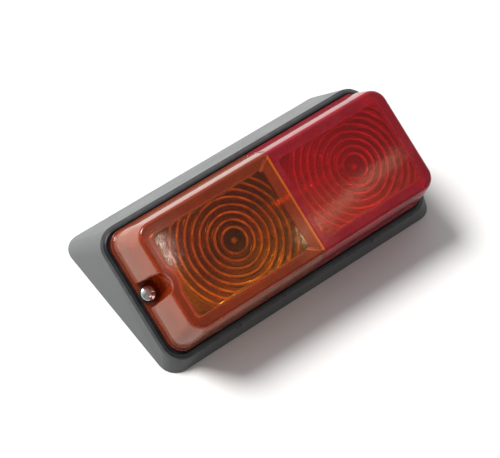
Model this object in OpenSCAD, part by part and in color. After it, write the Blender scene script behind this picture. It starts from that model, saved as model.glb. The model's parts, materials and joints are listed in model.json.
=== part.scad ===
// Trailer tail light: a wedge-backed rear lamp with an amber and a red chamber. Millimetres.
// Row frame: the back face lies on z = 0, x runs along the lamp towards the red end, +Z points away
// from the vehicle. Lamp frame: x is the same, y climbs the tilted face, z points out through the
// lens, and z = 0 is the top of the housing rim.

/* [Housing] */
// Length of the back face
base_length = 163; // [156:1:180]
// Width of the back face
base_width = 89; // [86:1:95]
// Corner radius of the back face
base_corner = 9; // [6:0.5:14]
// Tilt of the lamp face against the back face
wedge_angle = 24; // [22:0.5:26]
// Height of the rim's centre above the back face
rim_height = 20.2; // [20:0.1:24]
// Shift of the rim's centre towards the shallow side
rim_shift = 10.3; // [9:0.1:11]
// Thickness of the moulded walls
wall = 2.8; // [2.4:0.1:3.2]
// Thickness of the floor against the vehicle
floor_thickness = 3; // [2.5:0.1:3.5]

/* [Rim and gasket] */
// Length of the seat that the gasket lies in
seat_length = 156; // [154:0.5:158]
// Width of the seat
seat_width = 68; // [67:0.5:69]
// Width of the lip around the seat
lip = 1.5; // [1.2:0.1:2]
// Length of the opening inside the gasket
mouth_length = 128; // [128:0.5:130]
// Width of the opening inside the gasket
mouth_width = 56; // [55:0.5:57]
// Depth of the seat below the rim
seat_depth = 2; // [1.8:0.1:2.2]
// Height of the gasket
gasket_height = 3; // [2.8:0.1:3.2]

/* [Lens] */
// Length of the lens at its flange
lens_length = 152; // [151:0.5:153]
// Width of the lens at its flange
lens_width = 64; // [63:0.5:65]
// Height of the lens above the gasket
lens_height = 24; // [24:0.5:26]
// How far the screw end leans in at the front
screw_end_slope = 6; // [5:0.5:7]
// How far the tongue end leans in at the front
tongue_end_slope = 0.6; // [0.3:0.1:1]
// How far each long side leans in at the front
side_slope = 4.2; // [3.5:0.1:4.6]
// Wall thickness of the lens
lens_wall = 2.2; // [2:0.1:2.4]
// Radius of the screw pocket in the amber end
pocket_radius = 6.1; // [5.8:0.1:6.4]

/* [Bulbs] */
// Distance from the divider to each filament
filament_reach = 36.1; // [35.5:0.1:37]
// Height of the bulb axis above the rim
bulb_axis = 8; // [7.8:0.1:8.4]
// Radius of the bulb's glass
glass_radius = 9.5; // [9:0.1:9.6]
// Radius of the bulb's metal cap
cap_radius = 7.5; // [7.4:0.05:7.5]
// Travel of a bulb against its spring
push_travel = 2; // [1.5:0.1:2]
// Turn between locked and free
twist = 16; // [14:1:18]

/* [Mounting] */
// Distance between the two threaded inserts in the back
insert_spacing = 80; // [76:1:84]
// Minor radius of their thread
insert_bore = 2.5; // [2.1:0.1:2.6]
// Radius of the cable's hole in the grommet
cable_bore = 3.2; // [2.5:0.1:3.8]

/* [Hidden] */

fine = 48;          // facets of a drawn circle
blend = 32;         // facets of a circle inside a hull
eps = 0.01;         // overlap of a cutter past the face that it opens
amber = -1;         // the amber chamber's side of the divider
red = 1;            // the red chamber's side

divider_x = 6.9;
divider_half = 0.6;
divider_half_width = 24;
divider_top = 21.5;
foot_length = 6;
foot_rivet_x = divider_x + divider_half + foot_length / 2 + 0.4;
foot_rivet_y = 15;
rim_length = seat_length + 2 * lip;
rim_width = seat_width + 2 * lip;
seat_corner = 9;
drain_notches = [-42, 39];             // where the shallow side's lip is cut through
drain_width = 3;
drain_depth = 1;
mouth_corner = 6;
ledge_thickness = 2.5;
ledge_under = -seat_depth - ledge_thickness;
lens_floor = gasket_height - seat_depth;

tray_thickness = 1;
tray_top = ledge_under + tray_thickness;
tray_gap = 1;
tray_screw_x = 52;
tray_screw_y = 17;
tray_hole = 1.7;
screw_thread = 1.5;
pillar_radius = 3.2;
pillar_pilot_depth = 8;
reflector_thickness = 1;
reflector_floor = tray_top + reflector_thickness;

boss_radius = 6.5;
boss_height = 12;
insert_radius = 4;
insert_length = 10;
mount_y = 10;
grommet_y = 33;
grommet_neck = 5.5;
grommet_flange = 7.5;
grommet_recess = 1;
grommet_inner_lip = 1.5;

lens_x0 = -75.5;                       // outer edge of the lens at the screw end
lens_x1 = lens_x0 + lens_length;       // outer edge at the tongue end
flange_height = 2.5;
flange_step = 0.8;
lens_corner = 8;
front_round = 2;
lens_top = lens_floor + lens_height;
pocket_x = -72.2;
pocket_wall = 2;
seat_z = lens_floor + 3;               // the face that the screw's washer lies on
washer_thickness = 0.6;
washer_radius = 4.2;
head_radius = 3.5;
head_height = 2.6;
shank_radius = 1.7;
shank_end = -6;
lens_hole = 2.3;
screw_insert_radius = 3.2;
screw_insert_bore = 2.05;
screw_insert_end = -10;
screw_boss_radius = 5.2;
tongue_width = 10;
tongue_neck_x = 74;
tongue_tip_x = 78.2;
tongue_top = -2.4;
tongue_bottom = -4;
tongue_room = 0.3;
tongue_slot_x = 71;
tongue_slot_bottom = -6.6;

// Distances along a bulb's axis, from the divider's middle plane.
shell_radius = 8.4;
shell_bore = 7.8;
shell_mouth = 21;
ear_length = 29;
ear_height = 13;
ear_thickness = 0.8;
ear_rivet = 11.5;
rivet_radius = 1.5;
rivet_head = 2.5;
base_top = 2;
tag_thickness = 0.5;
tag_top = base_top + tag_thickness;
tag_width = 2;
tag_drop = 9.2;
tag_end = bulb_axis - tag_drop;
contact_face = 10;
plunger_disc_bottom = 8;
plunger_disc_top = 9.5;
plunger_radius = 7;
cap_start = contact_face + 0.5;
cap_length = 16;
cap_wall = 0.5;
pin_level = filament_reach - 19;
pin_radius = 1;
pin_reach = 8.75;
pin_room = 0.3;
pin_stagger = 3;                       // the second pin of the two-contact cap sits lower
glass_wall = 0.6;
neck_start = cap_start + 8;
stem_radius = 2.5;
stem_end = filament_reach - 6;
filament_half = 3;
filament_wire = 0.25;
filament_coil = 0.5;
contact_spread = 3.2;                  // off-centre distance of each contact of the two-contact cap

block_length = 44;
block_width = 12;
block_height = 9;
block_y = 18;
terminal_pitch = 11;
terminal_screw_radius = 2;
lead_radius = 1;
lead_sides = 8;
lead_steps = 14;

// Lamp-frame height at y of the plane that lies h above the back face.
function lamp_z(y, h) = (h - rim_height - y * sin(wedge_angle)) / cos(wedge_angle);
// A row-frame point in the lamp frame.
function to_lamp(p) =
    let (dy = p[1] + rim_shift, dz = p[2] - rim_height)
    [p[0], dy * cos(wedge_angle) + dz * sin(wedge_angle),
     dz * cos(wedge_angle) - dy * sin(wedge_angle)];
// A point on the cubic curve with end points a, d and handles b, c.
function curve(a, b, c, d, t) =
    a * pow(1 - t, 3) + b * 3 * t * pow(1 - t, 2) + c * 3 * t * t * (1 - t) + d * pow(t, 3);
function unit(v) = v / norm(v);
function contacts(side) = side == amber ? [0] : [-contact_spread, contact_spread];
function pin_levels(side) = [pin_level, side == amber ? pin_level : pin_level - pin_stagger];

// ---- placing -----------------------------------------------------------------------------------

// Stands its children in the lamp frame.
module lamp() {
    translate([0, -rim_shift, rim_height]) rotate([wedge_angle, 0, 0]) children();
}

// Lays its children along a bulb axis: their +z points away from the divider on the given side.
module bulb_line(side) {
    lamp() translate([divider_x, 0, bulb_axis]) rotate([0, side * 90, 0]) children();
}

// ---- shared shapes -----------------------------------------------------------------------------

// A plate with round corners, centred on the axis, with its underside at z = 0.
module plate(length, width, corner, height) {
    translate([-length / 2 + corner, -width / 2, 0]) cube([length - 2 * corner, width, height]);
    translate([-length / 2, -width / 2 + corner, 0]) cube([length, width - 2 * corner, height]);
    corner_posts(-length / 2, length / 2, width, corner, height);
}

// Four upright cylinders at the corners of a rectangle from x0 to x1.
module corner_posts(x0, x1, width, corner, height, facets = fine) {
    for (x = [x0 + corner, x1 - corner], y = [-1, 1] * (width / 2 - corner))
        translate([x, y, 0]) cylinder(h = height, r = corner, $fn = facets);
}

module tube(height, outer, inner) {
    difference() {
        cylinder(h = height, r = outer, $fn = fine);
        translate([0, 0, -eps]) cylinder(h = height + 2 * eps, r = inner, $fn = fine);
    }
}

// A round wire swept along points, each ring square to the path.
module wire(points, radius, sides) {
    last = len(points) - 1;
    ahead = [for (i = [0:last]) unit(points[min(i + 1, last)] - points[max(i - 1, 0)])];
    across = [for (d = ahead) unit(cross(d, abs(d[2]) < 0.9 ? [0, 0, 1] : [0, 1, 0]))];
    rings = [for (i = [0:last], k = [0:sides - 1])
        let (turn = 360 * k / sides)
        points[i] + radius * (cos(turn) * across[i] + sin(turn) * cross(ahead[i], across[i]))];
    skin = [for (i = [0:last - 1], k = [0:sides - 1], half = [0, 1])
        let (a = i * sides + k, b = i * sides + (k + 1) % sides)
        half == 0 ? [a, a + sides, b] : [b, a + sides, b + sides]];
    first_cap = [for (k = [0:sides - 1]) k];
    last_cap = [for (k = [sides - 1:-1:0]) last * sides + k];
    polyhedron(points = rings, faces = concat(skin, [first_cap, last_cap]), convexity = 8);
}

// ---- housing -----------------------------------------------------------------------------------

// The wedge between a back outline and a rim outline, each moved in by the inset.
module wedge(inset, bottom, top, shallow_inset) {
    hull() {
        translate([0, shallow_inset / 2, bottom])
            corner_posts(-base_length / 2 + inset, base_length / 2 - inset,
                base_width - 2 * inset - shallow_inset, base_corner - inset, 0.2, blend);
        lamp() translate([0, 0, top - 0.2])
            corner_posts(-rim_length / 2 + inset, rim_length / 2 - inset,
                rim_width - 2 * inset, seat_corner + lip - inset, 0.2, blend);
    }
}

module housing() {
    color([0.47, 0.48, 0.49]) difference() {
        housing_with_seat();
        lamp() {
            translate([pocket_x, 0, screw_insert_end])
                cylinder(h = -screw_insert_end, r = screw_insert_radius, $fn = fine);
            for (x = [-1, 1] * tray_screw_x, y = [-1, 1] * tray_screw_y)
                translate([x, y, ledge_under - pillar_pilot_depth])
                    cylinder(h = pillar_pilot_depth + 1, r = screw_thread, $fn = fine);
            tongue_slot();
            for (x = drain_notches)
                translate([x, -rim_width / 2 - 1, -drain_depth])
                    cube([drain_width, lip + 1.5, drain_depth + 0.5]);
        }
        for (x = [-1, 1] * insert_spacing / 2)
            translate([x, mount_y, -0.5])
                cylinder(h = insert_length + 1.5, r = insert_radius, $fn = fine);
        translate([0, grommet_y, -1]) cylinder(h = floor_thickness + 2, r = grommet_neck, $fn = fine);
        translate([0, grommet_y, -2]) cylinder(h = grommet_recess + 2, r = grommet_flange, $fn = fine);
    }
}

// The shell with its bosses and pillars, opened at the top for the gasket and the tray.
module housing_with_seat() {
    shallow_relief = 5.7;              // keeps the hollow clear of the shallow side's wall
    difference() {
        union() {
            difference() {
                wedge(0, 0, 0, 0);
                wedge(wall, floor_thickness, ledge_under, shallow_relief);
            }
            for (x = [-1, 1] * insert_spacing / 2)
                translate([x, mount_y, 1])
                    cylinder(h = boss_height - 1, r = boss_radius, $fn = fine);
            lamp() {
                for (x = [-1, 1] * tray_screw_x, y = [-1, 1] * tray_screw_y)
                    let (foot = lamp_z(y, floor_thickness / 2))
                    translate([x, y, foot])
                        cylinder(h = ledge_under - foot, r = pillar_radius, $fn = fine);
                translate([pocket_x, 0, screw_insert_end - 1])
                    cylinder(h = ledge_under - screw_insert_end + 2, r = screw_boss_radius, $fn = fine);
            }
        }
        lamp() {
            translate([0, 0, -seat_depth]) plate(seat_length, seat_width, seat_corner, seat_depth + 1);
            translate([0, 0, ledge_under - eps])
                plate(mouth_length, mouth_width, mouth_corner, ledge_thickness + 1);
        }
    }
}

// The room that the lens's tongue swings through, under the rim and through the ledge.
module tongue_slot() {
    half = tongue_width / 2 + tongue_room;
    translate([tongue_slot_x, -half, tongue_slot_bottom])
        cube([tongue_tip_x + tongue_room - tongue_slot_x, 2 * half,
              tongue_top + 0.1 - tongue_slot_bottom]);
    translate([tongue_slot_x, -half, tongue_slot_bottom])
        cube([lens_x1 - tongue_slot_x, 2 * half, -tongue_slot_bottom + lens_floor + 0.5]);
}

module mount_inserts() {
    color([0.78, 0.62, 0.30]) for (x = [-1, 1] * insert_spacing / 2)
        translate([x, mount_y, 0]) tube(insert_length, insert_radius, insert_bore);
}

module cable_grommet() {
    color([0.06, 0.06, 0.06]) translate([0, grommet_y, 0]) difference() {
        union() {
            cylinder(h = grommet_recess, r = grommet_flange, $fn = fine);
            cylinder(h = floor_thickness, r = grommet_neck, $fn = fine);
            translate([0, 0, floor_thickness])
                cylinder(h = grommet_inner_lip, r = grommet_flange, $fn = fine);
        }
        translate([0, 0, -1]) cylinder(h = floor_thickness + 4, r = cable_bore, $fn = fine);
    }
}

module screw_insert() {
    color([0.78, 0.62, 0.30]) lamp() translate([pocket_x, 0, screw_insert_end])
        tube(-seat_depth - screw_insert_end, screw_insert_radius, screw_insert_bore);
}

module gasket() {
    screw_room = 2.6;
    color([0.10, 0.11, 0.13]) lamp() difference() {
        translate([0, 0, -seat_depth]) plate(seat_length, seat_width, seat_corner, gasket_height);
        translate([0, 0, -seat_depth - 1])
            plate(mouth_length, mouth_width, mouth_corner, gasket_height + 2);
        translate([pocket_x, 0, -seat_depth - 1])
            cylinder(h = gasket_height + 2, r = screw_room, $fn = fine);
        tongue_slot();
    }
}

// ---- tray and wiring ---------------------------------------------------------------------------

// Where the leads pass down through the tray.
function lead_holes() = [
    [divider_x - tag_top + tag_thickness / 2, 0],
    [divider_x + tag_top - tag_thickness / 2, -contact_spread],
    [divider_x + tag_top - tag_thickness / 2, contact_spread]
];

module tray() {
    color([0.70, 0.68, 0.60]) lamp() difference() {
        translate([0, 0, ledge_under])
            plate(mouth_length - 2 * tray_gap, mouth_width - 2 * tray_gap,
                mouth_corner - tray_gap, tray_thickness);
        for (x = [-1, 1] * tray_screw_x, y = [-1, 1] * tray_screw_y)
            translate([x, y, ledge_under - 1])
                cylinder(h = tray_thickness + 2, r = tray_hole, $fn = fine);
        for (p = lead_holes())
            translate([p[0], p[1], ledge_under - 1])
                cylinder(h = tray_thickness + 2, r = 1.5, $fn = fine);
        for (y = [-1, 1] * foot_rivet_y)
            translate([foot_rivet_x, y, ledge_under - 1])
                cylinder(h = tray_thickness + 2, r = rivet_radius, $fn = fine);
    }
}

module tray_screws() {
    head = 3;
    color([0.75, 0.75, 0.77]) lamp() for (x = [-1, 1] * tray_screw_x, y = [-1, 1] * tray_screw_y)
        translate([x, y, 0]) difference() {
            union() {
                translate([0, 0, reflector_floor]) cylinder(h = 1.8, r = head, $fn = fine);
                translate([0, 0, ledge_under - pillar_pilot_depth + 1])
                    cylinder(h = reflector_floor - ledge_under + pillar_pilot_depth - 1,
                        r = screw_thread, $fn = fine);
            }
            cross_recess(reflector_floor + 1.8, 1, 1.8);
        }
}

// A cross-shaped driver recess cut down from z.
module cross_recess(z, depth, reach) {
    for (turn = [0, 90]) rotate(turn)
        translate([-reach, -0.4, z - depth]) cube([2 * reach, 0.8, depth + 1]);
}

module divider() {
    foot_width = 40;
    color([0.72, 0.70, 0.62]) lamp() difference() {
        union() {
            translate([divider_x - divider_half, -divider_half_width, tray_top])
                cube([2 * divider_half, 2 * divider_half_width, divider_top - tray_top]);
            translate([divider_x, -foot_width / 2, tray_top])
                cube([divider_half + foot_length, foot_width, reflector_thickness]);
        }
        for (y = [-1, 1] * ear_rivet)
            translate([divider_x - 2, y, bulb_axis]) rotate([0, 90, 0])
                cylinder(h = 4, r = rivet_radius, $fn = fine);
        for (y = [-1, 1] * foot_rivet_y)
            translate([foot_rivet_x, y, tray_top - 1])
                cylinder(h = 3, r = rivet_radius, $fn = fine);
        for (p = lead_holes())
            translate([p[0], p[1], tray_top - 1]) cylinder(h = 3, r = 1.5, $fn = fine);
    }
}

module divider_rivets() {
    grip = 2 * (divider_half + ear_thickness);
    color([0.80, 0.80, 0.80]) lamp() {
        for (y = [-1, 1] * ear_rivet)
            translate([divider_x - grip / 2, y, bulb_axis]) rotate([0, 90, 0]) rivet(grip);
        for (y = [-1, 1] * foot_rivet_y)
            translate([foot_rivet_x, y, ledge_under])
                rivet(tray_thickness + reflector_thickness);
    }
}

// A rivet through a stack of the given thickness, from z = 0 up, with a head on each side.
module rivet(grip) {
    head_height = 0.8;
    cylinder(h = grip, r = rivet_radius, $fn = fine);
    translate([0, 0, grip]) cylinder(h = head_height, r = rivet_head, $fn = fine);
    translate([0, 0, -head_height]) cylinder(h = head_height, r = rivet_head, $fn = fine);
}

// A bright tray with sloping sides, open towards the divider.
module reflector(x0, x1, cut_x0, cut_x1) {
    spread = 4.5;
    rim = 7;
    floor_half = 21.5;
    corner = 3;
    color([0.86, 0.84, 0.78]) lamp() intersection() {
        difference() {
            bowl(x0, x1, floor_half, spread, corner, tray_top, rim);
            bowl(x0 + reflector_thickness, x1 - reflector_thickness,
                floor_half - reflector_thickness, spread, corner, reflector_floor, rim + 0.5);
            for (x = [-1, 1] * tray_screw_x, y = [-1, 1] * tray_screw_y)
                translate([x, y, tray_top - 1]) cylinder(h = 3, r = tray_hole, $fn = fine);
        }
        translate([cut_x0, -40, tray_top - 1]) cube([cut_x1 - cut_x0, 80, 20]);
    }
}

module bowl(x0, x1, half, spread, corner, bottom, top) {
    hull() {
        translate([0, 0, bottom]) corner_posts(x0, x1, 2 * half, corner, 0.1, blend);
        translate([0, 0, top - 0.1])
            corner_posts(x0 - spread, x1 + spread, 2 * (half + spread), corner, 0.1, blend);
    }
}

module reflector_amber() {
    reflector(-57, 20, -70, divider_x - 5.9);
}

module reflector_red() {
    reflector(0, 57, divider_x + divider_half + foot_length + 0.5, 70);
}

// The screw terminals' places, in the row frame.
function terminal(i) = [(i - 1.5) * terminal_pitch, block_y, floor_thickness];

module terminal_block() {
    color([0.12, 0.12, 0.12]) difference() {
        translate([-block_length / 2, block_y - block_width / 2, floor_thickness])
            cube([block_length, block_width, block_height]);
        for (i = [0:3]) translate(terminal(i) + [0, 0, block_height - 4])
            cylinder(h = 5, r = terminal_screw_radius, $fn = fine);
        for (i = [0:3]) translate(terminal(i) + [0, 0, 3]) rotate([90, 0, 0])
            cylinder(h = block_width, r = lead_radius + 0.3, $fn = fine);
    }
}

module terminal_screws() {
    color([0.78, 0.62, 0.30]) for (i = [0:3]) translate(terminal(i) + [0, 0, block_height - 4])
        difference() {
            cylinder(h = 3, r = terminal_screw_radius, $fn = fine);
            translate([-3, -0.3, 2.2]) cube([6, 0.6, 2]);
        }
}

// A lead that drops straight from one point, then runs into the side of terminal i.
module lead(start, i) {
    drop = 17;
    run = 14;
    finish = to_lamp(terminal(i) + [0, -block_width / 2 + 2, 3]);
    back = to_lamp(terminal(i) + [0, -block_width / 2 - run, 3]);
    path = [for (k = [0:lead_steps]) curve(start, start - [0, 0, drop], back, finish, k / lead_steps)];
    lamp() wire(path, lead_radius, lead_sides);
}

module lead_indicator() { color([0.10, 0.45, 0.20]) lead(concat(lead_holes()[0], tag_end), 1); }
module lead_tail() { color([0.45, 0.28, 0.12]) lead(concat(lead_holes()[1], tag_end), 2); }
module lead_stop() { color([0.70, 0.08, 0.08]) lead(concat(lead_holes()[2], tag_end), 3); }
module lead_earth() { color([0.92, 0.92, 0.90]) lead([-6, 0, ledge_under], 0); }

// ---- lens --------------------------------------------------------------------------------------

// The lens's outer body above the flange, with its front edge rounded off.
module lens_body() {
    base = lens_floor + flange_height;
    shoulder = lens_top - front_round;
    hull() {
        translate([0, 0, lens_floor])
            corner_posts(lens_x0 + flange_step, lens_x1 - flange_step, lens_width - 2 * flange_step,
                lens_corner - flange_step, 0.2, blend);
        translate([0, 0, shoulder - 0.2])
            corner_posts(lens_x0 + screw_end_slope, lens_x1 - tongue_end_slope,
                lens_width - 2 * side_slope, lens_corner, 0.2, blend);
        translate([0, 0, lens_top - 0.6])
            corner_posts(lens_x0 + screw_end_slope + 0.7, lens_x1 - tongue_end_slope - 0.6,
                lens_width - 2 * side_slope - 1.2, lens_corner - 0.6, 0.2, blend);
        translate([0, 0, lens_top - 0.2])
            corner_posts(lens_x0 + screw_end_slope + front_round, lens_x1 - tongue_end_slope - front_round,
                lens_width - 2 * side_slope - 2 * front_round, lens_corner - front_round, 0.2, blend);
    }
    translate([(lens_x0 + lens_x1) / 2, 0, lens_floor])
        plate(lens_length, lens_width, lens_corner, base - lens_floor);
}

module lens_hollow() {
    hull() {
        translate([0, 0, lens_floor - 0.5])
            corner_posts(lens_x0 + flange_step + lens_wall, lens_x1 - flange_step - lens_wall,
                lens_width - 2 * (flange_step + lens_wall), lens_corner - lens_wall, 0.2, blend);
        translate([0, 0, lens_top - lens_wall - 0.2])
            corner_posts(lens_x0 + screw_end_slope + lens_wall + 0.4,
                lens_x1 - tongue_end_slope - lens_wall,
                lens_width - 2 * (side_slope + lens_wall), lens_corner - lens_wall, 0.2, blend);
    }
}

// The upright gutter that the lens screw stands in, open at the front and the end.
module screw_pocket(radius, bottom, top) {
    translate([pocket_x, 0, bottom]) cylinder(h = top - bottom, r = radius, $fn = fine);
    translate([pocket_x - 20, -radius, bottom]) cube([20, 2 * radius, top - bottom]);
}

module lens_amber() {
    color([0.86, 0.38, 0.06, 0.8]) lamp() difference() {
        lens_body();
        difference() {
            lens_hollow();
            screw_pocket(pocket_radius + pocket_wall, lens_floor - 1, lens_top + 1);
        }
        screw_pocket(pocket_radius, seat_z, lens_top + 1);
        translate([pocket_x, 0, lens_floor - 1]) cylinder(h = 10, r = lens_hole, $fn = fine);
        translate([divider_x, -lens_width, lens_floor - 1]) cube([lens_length, 2 * lens_width, 40]);
    }
}

module lens_red() {
    color([0.70, 0.05, 0.08, 0.8]) lamp() {
        difference() {
            lens_body();
            lens_hollow();
            translate([divider_x - lens_length, -lens_width, lens_floor - 1])
                cube([lens_length, 2 * lens_width, 40]);
        }
        lens_tongue();
    }
}

// The hook under the rim that holds the red end down.
module lens_tongue() {
    neck_end_x = lens_x1 - flange_step;
    translate([tongue_neck_x, -tongue_width / 2, tongue_bottom])
        cube([neck_end_x - tongue_neck_x, tongue_width, lens_floor + 1 - tongue_bottom]);
    translate([tongue_neck_x, -tongue_width / 2, tongue_bottom])
        cube([tongue_tip_x - tongue_neck_x, tongue_width, tongue_top - tongue_bottom]);
}

module screw_washer() {
    color([0.15, 0.15, 0.15]) lamp() translate([pocket_x, 0, seat_z])
        tube(washer_thickness, washer_radius, lens_hole);
}

module lens_screw() {
    under_head = seat_z + washer_thickness;
    color([0.80, 0.81, 0.82]) lamp() translate([pocket_x, 0, 0]) difference() {
        union() {
            translate([0, 0, under_head]) cylinder(h = head_height, r = head_radius, $fn = fine);
            translate([0, 0, shank_end])
                cylinder(h = under_head - shank_end, r = shank_radius, $fn = fine);
        }
        cross_recess(under_head + head_height, 1.6, 2.2);
    }
}

// ---- sockets -----------------------------------------------------------------------------------

// Turns its children to each of a bulb's two pins, with the pin's distance from the divider.
module at_pins(side) {
    levels = pin_levels(side);
    for (i = [0, 1]) rotate(i * 180) translate([0, 0, levels[i]]) children();
}

module socket_shell(side) {
    slot_half = pin_radius + pin_room;
    slot_shift = pin_reach * sin(twist);
    mouth_run = shell_mouth + 1;
    color([0.76, 0.66, 0.42]) bulb_line(side) difference() {
        union() {
            translate([0, 0, divider_half])
                tube(shell_mouth - divider_half, shell_radius, shell_bore);
            translate([-ear_height / 2, -ear_length / 2, divider_half])
                cube([ear_height, ear_length, ear_thickness]);
        }
        translate([0, 0, -eps]) cylinder(h = base_top, r = shell_bore, $fn = fine);
        for (y = [-1, 1] * ear_rivet)
            translate([0, y, -eps]) cylinder(h = 4, r = rivet_radius, $fn = fine);
        at_pins(side) {
            translate([-slot_half - slot_shift, 6, -push_travel - slot_half])
                cube([2 * slot_half + slot_shift, 4, push_travel + 2 * slot_half - pin_room + 0.05]);
            translate([-slot_half - slot_shift, 6, -slot_half])
                cube([2 * slot_half, 4, mouth_run]);
        }
        translate([side * 4, -contact_spread - tag_width, base_top - 0.3])
            mirror([side < 0 ? 1 : 0, 0, 0])
            cube([6, 2 * (contact_spread + tag_width), tag_thickness + 0.6]);
    }
}

module socket_base(side) {
    color([0.30, 0.16, 0.08]) bulb_line(side) translate([0, 0, divider_half])
        cylinder(h = base_top - divider_half, r = shell_bore - 0.2, $fn = fine);
}

module solder_tag(side) {
    seat = side == amber ? 4.2 : 2.4;
    color([0.80, 0.64, 0.32]) bulb_line(side) for (y = contacts(side))
        translate([0, y, base_top]) {
            cylinder(h = tag_thickness, r = seat, $fn = fine);
            translate([0, -tag_width / 2, 0]) mirror([side < 0 ? 1 : 0, 0, 0])
                cube([tag_drop, tag_width, tag_thickness]);
        }
}

module plunger_spring(side) {
    turns = 3;
    steps = 16;
    wire_radius = side == amber ? 0.35 : 0.25;
    coil = side == amber ? 3.6 : 1.7;
    low = tag_top + wire_radius;
    high = plunger_disc_bottom - wire_radius;
    color([0.70, 0.71, 0.73]) bulb_line(side) for (y = contacts(side))
        translate([0, y, 0])
            wire([for (k = [0:turns * steps])
                let (turn = 360 * k / steps)
                [coil * cos(turn), coil * sin(turn), low + (high - low) * k / (turns * steps)]],
                wire_radius, 6);
}

module plunger_disc(side) {
    stud = side == amber ? 2.2 : 1.5;
    color([0.30, 0.16, 0.08]) bulb_line(side) difference() {
        translate([0, 0, plunger_disc_bottom])
            cylinder(h = plunger_disc_top - plunger_disc_bottom, r = plunger_radius, $fn = fine);
        for (y = contacts(side))
            translate([0, y, 0]) cylinder(h = contact_face, r = stud, $fn = fine);
    }
}

module plunger_contact(side) {
    stud = side == amber ? 2.2 : 1.5;
    color([0.80, 0.64, 0.32]) bulb_line(side) for (y = contacts(side))
        translate([0, y, plunger_disc_bottom])
            cylinder(h = contact_face - plunger_disc_bottom, r = stud, $fn = fine);
}

// ---- bulbs -------------------------------------------------------------------------------------

module bulb_cap(side) {
    color([0.75, 0.70, 0.55]) bulb_line(side) {
        difference() {
            translate([0, 0, cap_start]) cylinder(h = cap_length, r = cap_radius, $fn = fine);
            translate([0, 0, cap_start + 2])
                cylinder(h = cap_length, r = cap_radius - cap_wall, $fn = fine);
        }
        at_pins(side) translate([0, cap_radius - 0.3, 0]) rotate([-90, 0, 0])
            cylinder(h = pin_reach - cap_radius + 0.3, r = pin_radius, $fn = fine);
    }
}

module bulb_contact(side) {
    solder = side == amber ? 2.2 : 1.5;
    color([0.72, 0.72, 0.70]) bulb_line(side) for (y = contacts(side))
        translate([0, y, contact_face]) cylinder(h = cap_start - contact_face, r = solder, $fn = fine);
}

module bulb_stem(side) {
    color([0.85, 0.90, 0.92, 0.5]) bulb_line(side) translate([0, 0, cap_start + 2])
        cylinder(h = stem_end - cap_start - 2, r1 = stem_radius + 1, r2 = stem_radius - 1, $fn = fine);
}

module bulb_filament(side) {
    levels = side == amber ? [0] : [0, -2.6];
    post_x = [0, 1.2];
    foot_y = 0.8;
    foot_z = stem_end - 1;
    color([0.55, 0.55, 0.58]) bulb_line(side) for (i = [0:len(levels) - 1]) {
        rise = filament_reach + levels[i] - foot_z;
        lean = atan((filament_half - foot_y) / rise);
        for (end = [-1, 1])
            translate([post_x[i], end * foot_y, foot_z]) rotate([-end * lean, 0, 0])
                cylinder(h = rise / cos(lean), r = filament_wire, $fn = 24);
        translate([post_x[i], -filament_half - 0.3, filament_reach + levels[i]]) rotate([-90, 0, 0])
            cylinder(h = 2 * filament_half + 0.6, r = filament_coil, $fn = 24);
    }
}

module bulb_glass(side) {
    neck = cap_radius - cap_wall;
    color([0.90, 0.95, 0.97, 0.3]) bulb_line(side) difference() {
        bulb_profile(glass_radius, neck, neck_start);
        bulb_profile(glass_radius - glass_wall, neck - glass_wall, neck_start - eps);
    }
}

module bulb_profile(radius, neck, start) {
    translate([0, 0, filament_reach]) sphere(r = radius, $fn = fine);
    translate([0, 0, start]) cylinder(h = filament_reach - start - 2, r = neck, $fn = fine);
}

housing();
mount_inserts();
cable_grommet();
screw_insert();
gasket();
tray();
tray_screws();
divider();
divider_rivets();
reflector_amber();
reflector_red();
terminal_block();
terminal_screws();
lead_indicator();
lead_tail();
lead_stop();
lead_earth();
lens_amber();
lens_red();
screw_washer();
lens_screw();
socket_shell(amber);  // socket_shell_amber
socket_base(amber);  // socket_base_amber
solder_tag(amber);  // solder_tag_amber
plunger_spring(amber);  // plunger_spring_amber
plunger_disc(amber);  // plunger_disc_amber
plunger_contact(amber);  // plunger_contact_amber
bulb_cap(amber);  // bulb_cap_amber
bulb_contact(amber);  // bulb_contact_amber
bulb_stem(amber);  // bulb_stem_amber
bulb_filament(amber);  // bulb_filament_amber
bulb_glass(amber);  // bulb_glass_amber
socket_shell(red);  // socket_shell_red
socket_base(red);  // socket_base_red
solder_tag(red);  // solder_tags_red
plunger_spring(red);  // plunger_springs_red
plunger_disc(red);  // plunger_disc_red
plunger_contact(red);  // plunger_contacts_red
bulb_cap(red);  // bulb_cap_red
bulb_contact(red);  // bulb_contacts_red
bulb_stem(red);  // bulb_stem_red
bulb_filament(red);  // bulb_filaments_red
bulb_glass(red);  // bulb_glass_red
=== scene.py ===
# %% [markdown]
# # A trailer tail light
# The lamp is a grey plastic wedge with a rubber gasket and a lens in two halves, amber and red, hooked in
# at the red end and held by one screw at the amber end. Two bayonet bulbs lie back to back on a sheet
# divider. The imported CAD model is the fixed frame. This script gives every piece its finish, and rebuilds
# the pieces whose detail is too fine for the CAD: the ringed lenses, the housing's soft edges, the screw
# and the coils.

# %% Load the frame
import json
import math

import bmesh
import bpy
import numpy as np
from mathutils import Matrix, Vector


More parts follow.
